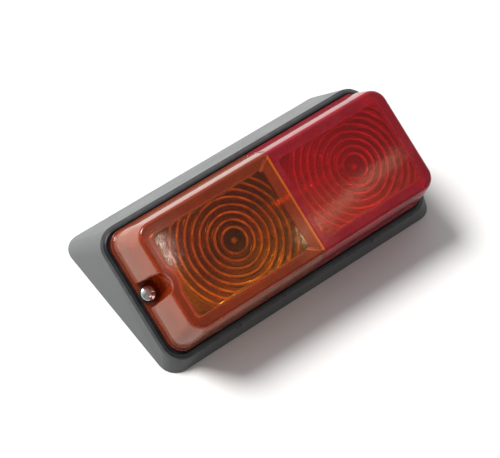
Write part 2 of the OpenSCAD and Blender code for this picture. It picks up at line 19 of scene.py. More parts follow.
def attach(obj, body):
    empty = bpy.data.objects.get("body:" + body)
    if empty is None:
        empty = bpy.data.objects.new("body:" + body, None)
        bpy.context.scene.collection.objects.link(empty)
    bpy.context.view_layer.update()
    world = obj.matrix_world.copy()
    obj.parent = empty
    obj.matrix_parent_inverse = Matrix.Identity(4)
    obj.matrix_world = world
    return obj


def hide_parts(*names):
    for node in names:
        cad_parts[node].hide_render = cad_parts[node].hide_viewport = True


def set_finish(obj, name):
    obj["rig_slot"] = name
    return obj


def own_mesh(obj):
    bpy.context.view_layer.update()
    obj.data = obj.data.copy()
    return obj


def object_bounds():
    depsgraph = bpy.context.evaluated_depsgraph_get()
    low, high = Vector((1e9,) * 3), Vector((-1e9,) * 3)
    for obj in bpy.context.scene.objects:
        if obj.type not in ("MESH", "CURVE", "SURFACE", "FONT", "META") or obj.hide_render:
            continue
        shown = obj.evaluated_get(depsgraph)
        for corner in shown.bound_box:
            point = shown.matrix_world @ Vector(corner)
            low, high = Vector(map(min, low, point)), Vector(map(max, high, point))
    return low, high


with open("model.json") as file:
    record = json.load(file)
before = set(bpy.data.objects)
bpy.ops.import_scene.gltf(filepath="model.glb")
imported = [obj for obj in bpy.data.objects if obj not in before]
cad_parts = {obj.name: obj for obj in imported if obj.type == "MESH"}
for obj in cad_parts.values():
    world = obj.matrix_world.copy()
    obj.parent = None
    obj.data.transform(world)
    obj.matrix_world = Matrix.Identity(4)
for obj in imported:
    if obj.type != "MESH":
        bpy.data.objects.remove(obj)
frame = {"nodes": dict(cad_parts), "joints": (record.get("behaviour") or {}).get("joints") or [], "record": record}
cad_low, cad_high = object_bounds()
nodes = frame["nodes"]
print(f"{len(nodes)} nodes, box {[round(1000 * s, 1) for s in cad_high - cad_low]} mm")

# %% [markdown]
# The lamp's face is tilted on its wedge, so sizes are easiest to give in a frame of its own: x along the
# lamp, y up the slope and z out through the lens, in millimetres, with z = 0 at the housing's rim. Its
# directions could be worked out from the wedge's angle, but two joints already say them: the lens screw
# turns about z, and the lens tilts about y.

# %% The lamp's own frame
MM = 0.001
SCREW_X, SCREW_Z = -72.2, 4.6          # the lens screw's axis, and the height of its head's underside
joints = {j["name"]: j for j in frame["joints"]}
outward = np.array(joints["lens_screw_turn"]["axis"], float)
across = np.array(joints["lens_tilt"]["axis"], float)
along = np.cross(across, outward)
home = np.array(joints["lens_screw_turn"]["pos_m"]) - MM * (SCREW_X * along + SCREW_Z * outward)


def lamp(x, y, z):
    """Row-frame points in metres: home + x along + y across + z outward, with x, y and z in millimetres."""
    x, y, z = np.broadcast_arrays(np.asarray(x, float), np.asarray(y, float), np.asarray(z, float))
    return home + MM * (x[..., None] * along + y[..., None] * across + z[..., None] * outward)


print("lamp origin in the row frame:", np.round(home / MM, 2))

# %% [markdown]
# The camera stands about 0.7 m above the lamp, off its amber end and its shallow side, and looks down on
# the lens. A long focal length keeps the sides nearly parallel. It is aimed by direction, distance and a
# small roll, which are easier to adjust one at a time than a place and three angles.

# %% Camera
VIEW_AZIMUTH, VIEW_ELEVATION, VIEW_ROLL = -45.4, 57.5, 8.96
VIEW_DISTANCE = 845.0
AIM = (-8.6, 0.7, -3.5)                # the aimed-at point in the lamp's frame
FOCAL_LENGTH, SENSOR_WIDTH = 127.4, 36.0
NEAR_CLIP, FAR_CLIP = 0.01, 20.0       # metres


def add_camera():
    """back = (sin a cos e, -cos a cos e, sin e); the roll turns the picture about the line of sight."""
    a, e = math.radians(VIEW_AZIMUTH), math.radians(VIEW_ELEVATION)
    back = Vector((math.sin(a) * math.cos(e), -math.cos(a) * math.cos(e), math.sin(e)))
    aim = Vector(lamp(*AIM))
    data = bpy.data.cameras.new("camera")
    data.lens, data.sensor_width = FOCAL_LENGTH, SENSOR_WIDTH
    data.clip_start, data.clip_end = NEAR_CLIP, FAR_CLIP
    camera = bpy.data.objects.new("camera", data)
    camera.rotation_mode = "QUATERNION"
    camera.location = aim + back * VIEW_DISTANCE * MM
    roll = Matrix.Rotation(math.radians(VIEW_ROLL), 4, "Z").to_quaternion()
    camera.rotation_quaternion = (-back).to_track_quat("-Z", "Y") @ roll
    bpy.context.scene.collection.objects.link(camera)
    bpy.context.scene.camera = camera
    return camera


camera = add_camera()
print("camera at", [round(c, 3) for c in camera.location])

# %% [markdown]
# Meshes are made as whole arrays. A surface is a grid of points: each row is a closed loop round the piece,
# and the rows run from one pole to the other, so that the skin closes. A wire is a circle carried along a
# path. The sign of the enclosed volume says whether the faces look outwards, and they are flipped if they
# don't. A trial wire at the end shows that the volume comes out right.

# %% Mesh helpers


def grid_quads(rows, columns, start=0):
    """Faces between neighbouring rows of closed loops: (r, c), (r + 1, c), (r + 1, c + 1), (r, c + 1)."""
    r, c = np.meshgrid(np.arange(rows - 1), np.arange(columns), indexing="ij")
    here, following = start + r * columns, (c + 1) % columns
    return np.stack([here + c, here + columns + c, here + columns + following, here + following],
                    -1).reshape(-1, 4)


def enclosed_volume(points, faces):
    """Sum of a . (b x c) / 6 over the triangles of the faces."""
    total = 0.0
    for k in range(1, faces.shape[1] - 1):
        a, b, c = points[faces[:, 0]], points[faces[:, k]], points[faces[:, k + 1]]
        total += np.einsum("ij,ij->i", a, np.cross(b, c)).sum() / 6
    return total


def skin(rows):
    """Points and faces of a closed surface from an array (rows, around, 3) whose end rows are poles."""
    count, turns = rows.shape[:2]
    points = np.concatenate([rows[0, :1], rows[1:-1].reshape(-1, 3), rows[-1, :1]])
    quads = grid_quads(count - 2, turns, 1)
    k, n = np.arange(turns), (np.arange(turns) + 1) % turns
    top = np.stack([np.zeros(turns, int), 1 + k, 1 + n], -1)
    last = 1 + (count - 3) * turns
    bottom = np.stack([last + k, np.full(turns, len(points) - 1), last + n], -1)
    tris = np.concatenate([top, bottom])
    centred = points - points.mean(0)
    if enclosed_volume(centred, quads) + enclosed_volume(centred, tris) < 0:
        quads, tris = quads[:, ::-1], tris[:, ::-1]
    return points, quads, tris


def new_piece(name, points, faces, body, slot, replaces=(), smooth=True):
    """A mesh object in the row frame that rides on a body and takes its finish from a slot."""
    mesh = bpy.data.meshes.new(name)
    mesh.from_pydata(points.tolist(), [], [f for group in faces for f in group.tolist()])
    mesh.update()
    mesh.polygons.foreach_set("use_smooth", np.full(len(mesh.polygons), smooth))
    piece = bpy.data.objects.new(name, mesh)
    bpy.context.scene.collection.objects.link(piece)
    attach(piece, body)
    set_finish(piece, slot)
    if replaces:
        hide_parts(*replaces)
    return piece


def set_value(piece, name, values):
    """Stores one number per vertex for the materials to read."""
    attribute = piece.data.attributes.new(name, "FLOAT", "POINT")
    attribute.data.foreach_set("value", np.asarray(values, np.float32))


def wire_rows(path, radius, sides):
    """A round wire: circles of the radius stand square to the path, and a pole closes each end."""
    ahead = np.gradient(path, axis=0)
    ahead /= np.linalg.norm(ahead, axis=1, keepdims=True)
    aside = np.cross(ahead, outward + 0.3 * along)
    aside /= np.linalg.norm(aside, axis=1, keepdims=True)
    third = np.cross(ahead, aside)
    turn = np.linspace(0, 2 * np.pi, sides, endpoint=False)[None, :, None]
    rings = path[:, None] + radius * (np.cos(turn) * aside[:, None] + np.sin(turn) * third[:, None])
    poles = [np.repeat(path[k][None, None], sides, 1) for k in (0, -1)]
    return np.concatenate([poles[0], rings, poles[1]])


def wires_piece(name, paths, radii, sides, body, slot, replaces):
    """Several wires in one piece."""
    points, faces, start = [], [], 0
    for path, radius in zip(paths, radii):
        p, quads, tris = skin(wire_rows(path, radius * MM, sides))
        points.append(p)
        faces += [quads + start, tris + start]
        start += len(p)
    return new_piece(name, np.concatenate(points), faces, body, slot, replaces)


trial_points, trial_quads, trial_tris = skin(wire_rows(lamp(np.linspace(0, 10, 5), 0, 0), 0.5 * MM, 48))
trial_points = trial_points - trial_points.mean(0)
trial_volume = enclosed_volume(trial_points, trial_quads) + enclosed_volume(trial_points, trial_tris)
print(f"a trial wire 10 mm long and 1 mm thick: {trial_volume / MM ** 3:.2f} mm3, pi / 4 * 10 is 7.85")

# %% [markdown]
# ## The lens halves
# Each half is one moulding: a flat front, a rounded edge, leaning walls and a flange below, and inside it
# a thick frame round a window, whose inner face carries rings about the bulb's filament. It could be cut
# out of blocks with booleans, but those leave poor shading on clear plastic. Every loop of this shape is
# seen whole from the ring centre, so a polar grid about that point holds all of it: a loop is a height
# and, for each direction, the distance at which a ray leaves the outline.

# %% Sizes of the lens
JOINT_X, JOINT_GAP = 6.9, 0.04
FLANGE = (-75.5, 76.5, 32.0, 8.0)          # low x, high x, half width, corner radius
WALL_FOOT = (-74.7, 75.7, 31.2, 7.2)       # outer wall at the height WALL_FOOT_Z
WALL_HEAD = (-69.5, 75.9, 27.8, 8.0)       # outer wall where the rounded edge starts
ROOM_FOOT = (-72.5, 73.5, 29.0, 5.8)       # inner wall at the bottom
ROOM_HEAD = (-66.9, 73.7, 25.6, 5.8)       # inner wall under the front
EDGE_ROUND, LENS_BOTTOM, LENS_TOP = 2.0, 1.0, 25.0
WALL_FOOT_Z = 1.2
WALL_CROWN = 0.7                           # how far the outer walls swell between foot and head
FLANGE_TOP, SEAT_Z = 3.5, 4.0
PLATE_INNER = 22.8                         # the window's inner face between its rings
FRAME_UNDER = 17.0                         # the underside of the thick frame round the window
FRAME_WIDTH, JOINT_FRAME, RED_JOINT_FRAME = 6.0, 6.3, 2.6
WINDOW_CORNER, SMALLEST_CORNER = 2.5, 0.3
SKIRT_TOP = 21.9                           # the lens's lower edge over the divider
DIVIDER_REACH, DIVIDER_SOFT = 25.0, 0.8    # the lens has no joint wall up to here, then it starts this soon
POCKET_RADIUS, POCKET_WALL, POCKET_FRAME = 6.1, 2.0, 4.6
EDGE_STRIP = 1.5                           # width of the bright strip along the amber half's joint
RING_X = {"amber": -29.2, "red": 43.0}     # where the filaments stand
print(f"lens {FLANGE[1] - FLANGE[0]:.0f} x {2 * FLANGE[2]:.0f} mm, rising {LENS_TOP:.0f} mm above the rim")

# %% [markdown]
# An outline is a signed distance: below 0 inside it, 0 on its edge and above 0 outside. The larger of two
# distances is that of the overlap, so the straight cut at the joint and the gutter round the screw's head
# each take one np.maximum, where drawn outlines would have to be cut and joined again.

# %% Outlines of the lens


def rounded_box(x, y, loop, inset):
    """Distance to a rectangle with round corners: |max(d, 0)| + min(max(d), 0) - r, with d past the core."""
    low, high, half, corner = loop
    corner = max(corner - inset, SMALLEST_CORNER)
    dx = np.abs(x - (low + high) / 2) - ((high - low) / 2 - inset - corner)
    dy = np.abs(y) - (half - inset - corner)
    return np.hypot(np.maximum(dx, 0), np.maximum(dy, 0)) + np.minimum(np.maximum(dx, dy), 0) - corner


def gutter(x, y, radius):
    """How deep a point lies in the screw's gutter: radius - distance, with sides that flare to the end."""
    flare = radius / (RING_X["amber"] - SCREW_X)
    return np.where(x > SCREW_X, radius - np.hypot(x - SCREW_X, y),
                    radius + flare * (SCREW_X - x) - np.abs(y))


def mixed(a, b, share):
    """A loop between two loops."""
    return tuple(p + (q - p) * share for p, q in zip(a, b))


def smooth_step(x, low, high):
    """3t^2 - 2t^3 for t from 0 at low to 1 at high."""
    t = np.clip((x - low) / (high - low), 0, 1)
    return t * t * (3 - 2 * t)


print("distance at the lens's middle:", round(float(rounded_box(0.0, 0.0, FLANGE, 0.0)), 2), "mm")

# %% [markdown]
# A spoke is a ray from the ring centre, and its reach to an outline is found by halving a span that is
# longer than the lens. 36 halvings leave an error far under a micrometre, and numpy halves all the spokes
# at once. The spokes are spaced evenly along the window's border, because equal angles would leave the far
# corners coarse.

# %% Spokes of a lens half
SPOKES = 600
LONGEST_REACH, HALVINGS = 130.0, 36


class LensHalf:
    """The directions of one half's spokes, and the reach of its outlines along them."""

    def __init__(self, name, spokes):
        self.name, self.side = name, (-1 if name == "amber" else 1)
        self.centre = RING_X[name]
        joint_frame = JOINT_FRAME if name == "amber" else RED_JOINT_FRAME
        wall_end = WALL_HEAD[0] if name == "amber" else WALL_HEAD[1]
        window_ends = (wall_end - self.side * FRAME_WIDTH, JOINT_X + self.side * joint_frame)
        self.window = (min(window_ends), max(window_ends), WALL_HEAD[2] - FRAME_WIDTH, WINDOW_CORNER)
        self.turn = self.even_turns(spokes)
        joint_y = np.abs((JOINT_X - self.centre) * np.tan(self.turn))
        facing = np.cos(self.turn) * -self.side > 0
        over_divider = smooth_step(joint_y, DIVIDER_REACH + DIVIDER_SOFT, DIVIDER_REACH)
        self.open = np.where(facing, over_divider, 0.0)

    def even_turns(self, spokes):
        """Directions to points spaced evenly along the window's border."""
        low, high, half, _ = self.window
        corners = np.array([(high, -half), (high, half), (low, half), (low, -half), (high, -half)])
        steps = np.linalg.norm(np.diff(corners, axis=0), axis=1)
        walked = np.concatenate([[0], np.cumsum(steps)])
        at = np.linspace(0, walked[-1], spokes, endpoint=False)
        x, y = (np.interp(at, walked, corners[:, k]) for k in (0, 1))
        return np.unwrap(np.arctan2(y, x - self.centre))

    def reach(self, loop, inset=0.0, joint=JOINT_GAP, pocket=None):
        """Distance along each spoke to the outline's edge, by bisection on the sign of its distance."""
        near, far = np.zeros(len(self.turn)), np.full(len(self.turn), LONGEST_REACH)
        for _ in range(HALVINGS):
            middle = (near + far) / 2
            x, y = self.centre + middle * np.cos(self.turn), middle * np.sin(self.turn)
            depth = np.maximum(rounded_box(x, y, loop, inset), -self.side * (x - JOINT_X) + joint)
            if pocket is not None and self.name == "amber":
                depth = np.maximum(depth, gutter(x, y, pocket))
            far, near = np.where(depth > 0, middle, far), np.where(depth > 0, near, middle)
        return near

    def height(self, z):
        """Heights below the rounded edge are squeezed up over the divider, where the lens has no wall."""
        shoulder = LENS_TOP - EDGE_ROUND
        foot = LENS_BOTTOM + (SKIRT_TOP - LENS_BOTTOM) * self.open
        squeezed = shoulder - (shoulder - z) * (shoulder - foot) / (shoulder - LENS_BOTTOM)
        return np.where(z >= shoulder, z, squeezed)


halves = {name: LensHalf(name, SPOKES) for name in RING_X}
print({name: [round(v, 1) for v in half.window] for name, half in halves.items()})

# %% [markdown]
# A ring is a shallow rounded prism that bends the bulb's light straight. Between two sharp valleys the
# plate swells as a parabola. The frame's inner wall is fluted, which scatters the light that leaks
# sideways.

# %% Rings and flutes
RING_FIRST, RING_PITCH, RING_DEPTH, RING_LAST = 6.1, 3.6, 0.95, 33.0
RING_FADE = 0.6                            # the last ring runs out over this width
LINE_WIDTH, GLINT_RADIUS = 0.85, 2.0       # width of a ring's painted highlight line, and radius of the painted glint at the centre
LINE_END = (RING_LAST + 0.5, RING_LAST - 2.0)
FLUTE_PITCH, FLUTE_DEPTH = 1.3, 0.16
FLUTE_CORNER = 0.4                         # a spoke that ends this near a long side counts as meeting it
# Painted light: the window's lighter tint stands for lit reflector behind it, on its low side and at the amber
# end.
PAINTED_LIGHT_SLOPE, PAINTED_LIGHT_BAND = (0.3, 0.8), (-6.0, 24.0)     # the way to the low side, and where its painted light starts
PAINTED_LIGHT_END = (26.0, 34.0)


def ring_share(radius):
    """Where a radius lies within its ring, from 0 at one valley to 1 at the next."""
    return np.mod(radius - RING_FIRST, RING_PITCH) / RING_PITCH


def ring_height(radius):
    """How far the inner face drops at a distance from the ring centre: depth (1 - (2 f - 1)^2), where f is
    the share of a ring, and depth (1 - (r / first)^2) in the eye."""
    rings = RING_DEPTH * (1 - (2 * ring_share(radius) - 1) ** 2)
    eye = RING_DEPTH * (1 - (radius / RING_FIRST) ** 2)
    fade = smooth_step(radius, RING_LAST, RING_LAST - RING_FADE)
    return np.where(radius < RING_FIRST, np.maximum(eye, 0), rings * fade)


def ring_highlight(radius):
    """Painted highlight: 1 on the sharp valley between two rings and 0 elsewhere, with a painted glint in the eye.
    """
    line = smooth_step(np.abs(ring_share(radius) - 0.5), 0.5 - LINE_WIDTH / RING_PITCH, 0.5)
    line *= smooth_step(radius, *LINE_END) * (radius > RING_FIRST - 2 * LINE_WIDTH)
    return line + smooth_step(radius, GLINT_RADIUS, 0.3 * GLINT_RADIUS)


def flutes(half, radius):
    """Small cosine waves along the window's border, counted along whichever side the spoke meets."""
    x, y = half.centre + radius * np.cos(half.turn), radius * np.sin(half.turn)
    on_side = np.abs(y) > half.window[2] - FLUTE_CORNER
    place = np.where(on_side, x, y)
    return FLUTE_DEPTH * (np.cos(2 * np.pi * place / FLUTE_PITCH) - 1)


def painted_light_share(half, x, y):
    """How much painted light the window gets, as a lighter tint standing for lit reflector behind it: 1 on the low
    side by the divider and at the amber half's end, and 0 away from them, with smooth steps between. x and y are
    measured from the ring centre."""
    low_side = smooth_step(PAINTED_LIGHT_SLOPE[0] * half.side * -x - PAINTED_LIGHT_SLOPE[1] * y, *PAINTED_LIGHT_BAND)
    return np.maximum(low_side, smooth_step(half.side * x, *PAINTED_LIGHT_END) * (half.name == "amber"))


print("drop across one ring:", ring_height(RING_FIRST + RING_PITCH * np.linspace(0, 1, 5)).round(2), "mm")

# %% [markdown]
# The loops run from the front's centre over the rounded edge, down the wall, round the flange and back up
# inside to the ring centre. Each is a triple: its reach, its height, and the slot of the plastic that the
# faces leading up to it take. The window is clear. The wall is milky, and the frame and flange are milky
# and deep in colour. A strip along the amber half's joint is brighter.

# %% Loops of a lens half
CLEAR, MILKY, DEEP, STRIP = range(4)
FRONT_SHARES = (0.0, 0.3, 0.65)            # loops on the window's front, as shares of the way to its border
BORDER_STEP = 0.25                         # the colour changes between loops this far either side of it
BAND_INSET, BAND_POCKET, BAND_STEP = 1.0, 1.4, 0.06     # the strip's inner loop, and a thin step before it
EDGE_POCKET, EDGE_STEP, EDGE_LOOPS = 0.5, 0.3, 7        # the front's last loop, just short of the edge
WALL_HEIGHTS = (22.6, 21.5, 20.0, 18.0, 16.0, 14.0, 12.0, 10.0, 8.0, 6.0, 5.0, 4.3, SEAT_Z + 0.06)
SEAT_SHARE = 0.13                          # how far up the wall the flange's seat lies
FLANGE_PROFILE = (                         # inset and height of the loops round the flange's edge
    (0.45, FLANGE_TOP), (0.25, FLANGE_TOP - 0.03), (0.06, FLANGE_TOP - 0.14), (0.0, FLANGE_TOP - 0.35),
    (0.0, LENS_BOTTOM + 0.3), (0.1, LENS_BOTTOM + 0.06), (0.3, LENS_BOTTOM),
)
ROOM_HEIGHTS = (LENS_BOTTOM, 1.4, 6.0, 12.0, FRAME_UNDER - 0.5)
ROOM_JOINT, UNDER_JOINT = 0.35, 0.75       # the inner wall's distance from the joint, and the frame's
UNDER_SHARE, UNDER_INSET = 0.73, 0.4       # how far up the inner wall the frame lies, and its soft corner
WINDOW_DRAFT = 0.3                         # how much the fluted wall leans in on its way up
PLATE_INSET, PLATE_SOFT = 0.75, 1.6        # where the ringed face starts, and where its rings are full
RING_ROWS = 96


def front_loops(half, border):
    """Level across the window and its frame, nearly to the rounded edge."""
    for share in FRONT_SHARES:
        yield border * share, LENS_TOP, CLEAR
    yield border - BORDER_STEP, LENS_TOP, CLEAR
    yield border + BORDER_STEP, LENS_TOP, DEEP
    pocket = POCKET_RADIUS + BAND_POCKET
    band = half.reach(WALL_HEAD, EDGE_ROUND + BAND_INSET, joint=EDGE_STRIP, pocket=pocket)
    yield band - BAND_STEP, LENS_TOP, DEEP
    yield band, LENS_TOP, STRIP
    yield half.reach(WALL_HEAD, EDGE_ROUND, pocket=POCKET_RADIUS + EDGE_POCKET) - EDGE_STEP, LENS_TOP, STRIP


def edge_loops(half):
    """The rounded edge: inset r (1 - sin a) and height top - r (1 - cos a), for a from 0 to 90 degrees."""
    for lean in np.radians(np.linspace(0, 90, EDGE_LOOPS)):
        soft = EDGE_ROUND * (1 - math.sin(lean))
        rim = half.reach(WALL_HEAD, soft, pocket=POCKET_RADIUS + 0.25 * soft)
        yield rim, half.height(LENS_TOP - EDGE_ROUND + EDGE_ROUND * math.cos(lean)), DEEP


def wall_loops(half):
    """Down the outer wall, from head to foot, swollen by 4 c s (1 - s) at a share s of the way up."""
    for z in WALL_HEIGHTS:
        share = (z - WALL_FOOT_Z) / (LENS_TOP - EDGE_ROUND - WALL_FOOT_Z)
        crown = 4 * WALL_CROWN * share * (1 - share)
        wall = half.reach(mixed(WALL_FOOT, WALL_HEAD, share), -crown, pocket=POCKET_RADIUS)
        yield wall, half.height(z), MILKY


def flange_loops(half):
    """Across the seat, out over the flange and round its softened edge to the lens's bottom."""
    yield half.reach(mixed(WALL_FOOT, WALL_HEAD, SEAT_SHARE)), half.height(SEAT_Z - 0.06), DEEP
    yield half.reach(WALL_FOOT, -0.05), half.height(FLANGE_TOP + 0.05), DEEP
    for inset, z in FLANGE_PROFILE:
        yield half.reach(FLANGE, inset, joint=JOINT_GAP + 0.1 * inset), half.height(z), DEEP


def room_loops(half, border):
    """Up the inner wall, in under the frame, and up the fluted wall round the window."""
    pocket = POCKET_RADIUS + POCKET_WALL
    for z in ROOM_HEIGHTS:
        share = (z - LENS_BOTTOM) / (PLATE_INNER - LENS_BOTTOM)
        yield (half.reach(mixed(ROOM_FOOT, ROOM_HEAD, share), joint=ROOM_JOINT, pocket=pocket),
               half.height(z), CLEAR)
    under = mixed(ROOM_FOOT, ROOM_HEAD, UNDER_SHARE)
    yield (half.reach(under, UNDER_INSET, joint=UNDER_JOINT, pocket=pocket + 0.3),
           half.height(FRAME_UNDER), CLEAR)
    wavy = border + flutes(half, border)
    start = half.height(FRAME_UNDER + 0.3)
    yield wavy + 0.5, half.height(FRAME_UNDER), CLEAR
    yield wavy + 0.15, start, CLEAR
    for share in (0.5, 0.97):
        yield wavy - WINDOW_DRAFT * share, start + (PLATE_INNER - start) * share, CLEAR


def plate_loops(border):
    """The ringed inner face, from the window's border in to the ring centre."""
    for share in np.linspace(1, 0, RING_ROWS):
        radius = (border - PLATE_INSET) * share
        drop = ring_height(radius) * smooth_step(border - radius, PLATE_INSET, PLATE_SOFT)
        yield radius, PLATE_INNER - drop, CLEAR


def lens_loops(half):
    """All the loops of a half, as arrays of reach and height with a row for each, and a slot for each."""
    border = half.reach(half.window, pocket=POCKET_RADIUS + POCKET_FRAME)
    loops = [*front_loops(half, border), *edge_loops(half), *wall_loops(half), *flange_loops(half),
             *room_loops(half, border), *plate_loops(border)]
    around = np.ones(len(half.turn))
    radius, z = (np.stack([loop[k] * around for loop in loops]) for k in (0, 1))
    return radius, z, np.array([loop[2] for loop in loops])


lens_grid = {name: lens_loops(half) for name, half in halves.items()}
print({name: radius.shape for name, (radius, _, _) in lens_grid.items()}, "loops and spokes")

# %% [markdown]
# A face's plastic is a material slot, which only needs correcting in two places: the bright strip lies along the
# amber half's joint and nowhere else, and the gutter's wall round the screw takes the frame's deeper colour, as
# painted shade in that recess. Two things vary within the window and are stored on its points instead, for the
# materials to read, and both are painted light: the highlight line in each ring's valley, and a lighter tint
# standing for lit reflector behind the window.

# %% The two halves
POCKET_SLACK = 0.35                        # a wall face this close to the gutter's round end belongs to it


def on_points(values):
    """The values of a grid as a skin has its points: one for each pole and the rest in order."""
    return np.concatenate([values[0, :1], values[1:-1].ravel(), values[-1, :1]])


def face_slots(name, points, quads, loop_slots):
    """The slot of each quad is that of the loop it leads to, with the strip and the gutter put right."""
    slots = np.repeat(loop_slots[2:-1], len(quads) // (len(loop_slots) - 3))
    middle = (points[quads].mean(1) - home) / MM
    x, y = middle @ along, middle @ across
    at_joint = (np.abs(x - JOINT_X) < EDGE_STRIP) & (name == "amber")
    slots[(slots == STRIP) & ~at_joint] = DEEP
    # The gutter's wall takes the frame's deeper colour as painted shade in the recess.
    in_gutter = (x > SCREW_X) & (np.hypot(x - SCREW_X, y) < POCKET_RADIUS + POCKET_SLACK)
    slots[(slots == MILKY) & in_gutter] = DEEP
    return slots


def build_lens(name):
    """Closes one half's loops into a piece: (centre + r cos t, r sin t, z) for the spokes' directions t."""
    turn, centre = halves[name].turn, halves[name].centre
    radius, z, loop_slots = lens_grid[name]
    x, y = radius * np.cos(turn), radius * np.sin(turn)
    points, quads, tris = skin(lamp(centre + x, y, z))
    piece = new_piece(f"{name}_lens", points, [tris, quads], "lens", f"{name}_lens", (f"lens_{name}",))
    # The ring lines are painted highlights, with a painted glint in the eye.
    line = ring_highlight(radius)
    line[:-RING_ROWS] = 0
    set_value(piece, "ring_highlight", on_points(line))
    set_value(piece, "painted_light", on_points(painted_light_share(halves[name], x, y)))
    slots = face_slots(name, points, quads, loop_slots)
    piece.data.polygons.foreach_set("material_index", np.concatenate([np.full(len(tris), CLEAR), slots]))
    return piece


amber_lens, red_lens = build_lens("amber"), build_lens("red")
for lens in (amber_lens, red_lens):
    print(lens.name, len(lens.data.polygons), "faces")

# %% [markdown]
# The red half ends in a hook that lies under the housing's rim, the pivot that the whole lens swings on. It
# is an L drawn from the side and pulled through its width, with its edges taken off by a bevel.

# %% The tongue
TONGUE = [(74.0, -4.0), (78.2, -4.0), (78.2, -2.4), (75.7, -2.4), (75.7, 1.6), (74.0, 1.6)]
TONGUE_HALF, TONGUE_BEVEL = 5.0, 0.25


def build_tongue():
    """The outline at two widths, with one face for each edge and one at each end."""
    x, z = np.array(TONGUE).T
    ends = [lamp(x, y, z) for y in (-TONGUE_HALF, TONGUE_HALF)]
    n = len(TONGUE)
    k = np.arange(n)
    sides = np.stack([k, k + n, (k + 1) % n + n, (k + 1) % n], -1)
    piece = new_piece("lens_tongue", np.concatenate(ends), [sides, k[None], (k[::-1] + n)[None]],
                      "lens", "red_lens", ("lens_red",), smooth=False)
    work = bmesh.new()
    work.from_mesh(piece.data)
    bmesh.ops.recalc_face_normals(work, faces=work.faces)
    bmesh.ops.bevel(work, geom=work.edges[:], offset=TONGUE_BEVEL * MM, segments=2, affect="EDGES",
                    profile=0.5)
    work.to_mesh(piece.data)
    work.free()
    return piece


tongue = build_tongue()
print("tongue", len(tongue.data.polygons), "faces")

# %% [markdown]
# ## Pressed and moulded edges
# CAD edges are knife sharp, and real ones catch a line of light. The CAD solids are good, so a merged copy
# of each gets a narrow bevel on its sharp edges only. Rebuilding them by hand would gain nothing.

# %% Softened copies
FLAT_ANGLE, SHARP_ANGLE = math.radians(0.5), math.radians(32)
MERGE_DISTANCE = 2e-6                  # metres
SOFTENED = {                           # width of the bevel in mm, body and slot
    "housing": (0.45, "lamp_base", "housing_plastic"),
    "gasket": (0.3, "lamp_base", "gasket_rubber"),
    "cable_grommet": (0.3, "lamp_base", "gasket_rubber"),
    "tray": (0.15, "lamp_base", "tray_steel"),
    "divider": (0.15, "lamp_base", "tray_steel"),
    "terminal_block": (0.3, "lamp_base", "block_black"),
    "tray_screws": (0.12, "lamp_base", "steel_screw"),
    "terminal_screws": (0.1, "lamp_base", "brass"),
    "screw_washer": (0.12, "lens", "gasket_rubber"),
}


def softened(name, width, body, slot):
    """A copy of a CAD node with merged corners, whole flat faces and a two-step bevel on its sharp edges."""
    source = nodes[name]
    work = bmesh.new()
    work.from_mesh(source.data)
    bmesh.ops.remove_doubles(work, verts=work.verts, dist=MERGE_DISTANCE)
    bmesh.ops.dissolve_limit(work, angle_limit=FLAT_ANGLE, verts=work.verts, edges=work.edges)
    mesh = bpy.data.meshes.new(f"soft_{name}")
    work.to_mesh(mesh)
    work.free()
    mesh.polygons.foreach_set("use_smooth", np.ones(len(mesh.polygons), bool))
    mesh.set_sharp_from_angle(angle=SHARP_ANGLE)
    piece = bpy.data.objects.new(f"{name}_soft", mesh)
    bpy.context.scene.collection.objects.link(piece)
    bevel = piece.modifiers.new("edges", "BEVEL")
    bevel.width, bevel.segments, bevel.limit_method = width * MM, 2, "ANGLE"
    bevel.angle_limit, bevel.harden_normals = SHARP_ANGLE, True
    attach(piece, body)
    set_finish(piece, slot)
    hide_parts(name)
    return piece


soft = {name: softened(name, *facts) for name, facts in SOFTENED.items()}
print("softened:", ", ".join(soft))

# %% [markdown]
# The gasket's outer edge stands up beside the lens's flange as a round bead with a groove inside it. The
# bead is a half-round profile carried round the seat's outline; both are smooth, so one grid makes it.

# %% The gasket's bead
BEAD_LOOP = (-76.95, 76.95, 32.95, 8.2)
BEAD_CORNER_STEPS, BEAD_SIDES = 14, 12
BEAD_WIDTH, BEAD_HEIGHT, BEAD_Z = 0.85, 0.75, 0.85


def loop_path(loop, steps):
    """Points and outward directions round a rectangle with round corners, closed."""
    low, high, half, corner = loop
    points, outwards = [], []
    for quarter, (cx, cy) in enumerate([(high, half), (low, half), (low, -half), (high, -half)]):
        turn = np.radians(90 * quarter + np.linspace(0, 90, steps))
        direction = np.stack([np.cos(turn), np.sin(turn)], -1)
        centre = np.array([cx - math.copysign(corner, cx), cy - math.copysign(corner, cy)])
        points.append(centre + corner * direction)
        outwards.append(direction)
    return np.concatenate(points), np.concatenate(outwards)


def build_bead():
    """p + w cos(t) sideways and h sin(t) up, for t round an ellipse, at each point p of the loop."""
    path, sideways = loop_path(BEAD_LOOP, BEAD_CORNER_STEPS)
    turn = np.linspace(0, 2 * np.pi, BEAD_SIDES, endpoint=False)
    flat = path[None] + BEAD_WIDTH * np.cos(turn)[:, None, None] * sideways[None]
    height = BEAD_Z + BEAD_HEIGHT * np.sin(turn)[:, None]
    grid = lamp(flat[..., 0], flat[..., 1], height)
    grid = np.concatenate([grid, grid[:1]])
    count = len(path)
    faces = grid_quads(BEAD_SIDES + 1, count) % (BEAD_SIDES * count)
    points = grid[:-1].reshape(-1, 3)
    if enclosed_volume(points - points.mean(0), faces) < 0:
        faces = faces[:, ::-1]
    return new_piece("gasket_bead", points, [faces], "lamp_base", "gasket_rubber")


bead = build_bead()
print("bead", len(bead.data.polygons), "faces")

# %% [markdown]
# ## The lens screw
# It is a cross-headed machine screw with a shallow dome. A polar grid gives the dome, the recess as a cross
# pressed into it, the flat under the head and the thread, whose crest climbs one pitch a turn.

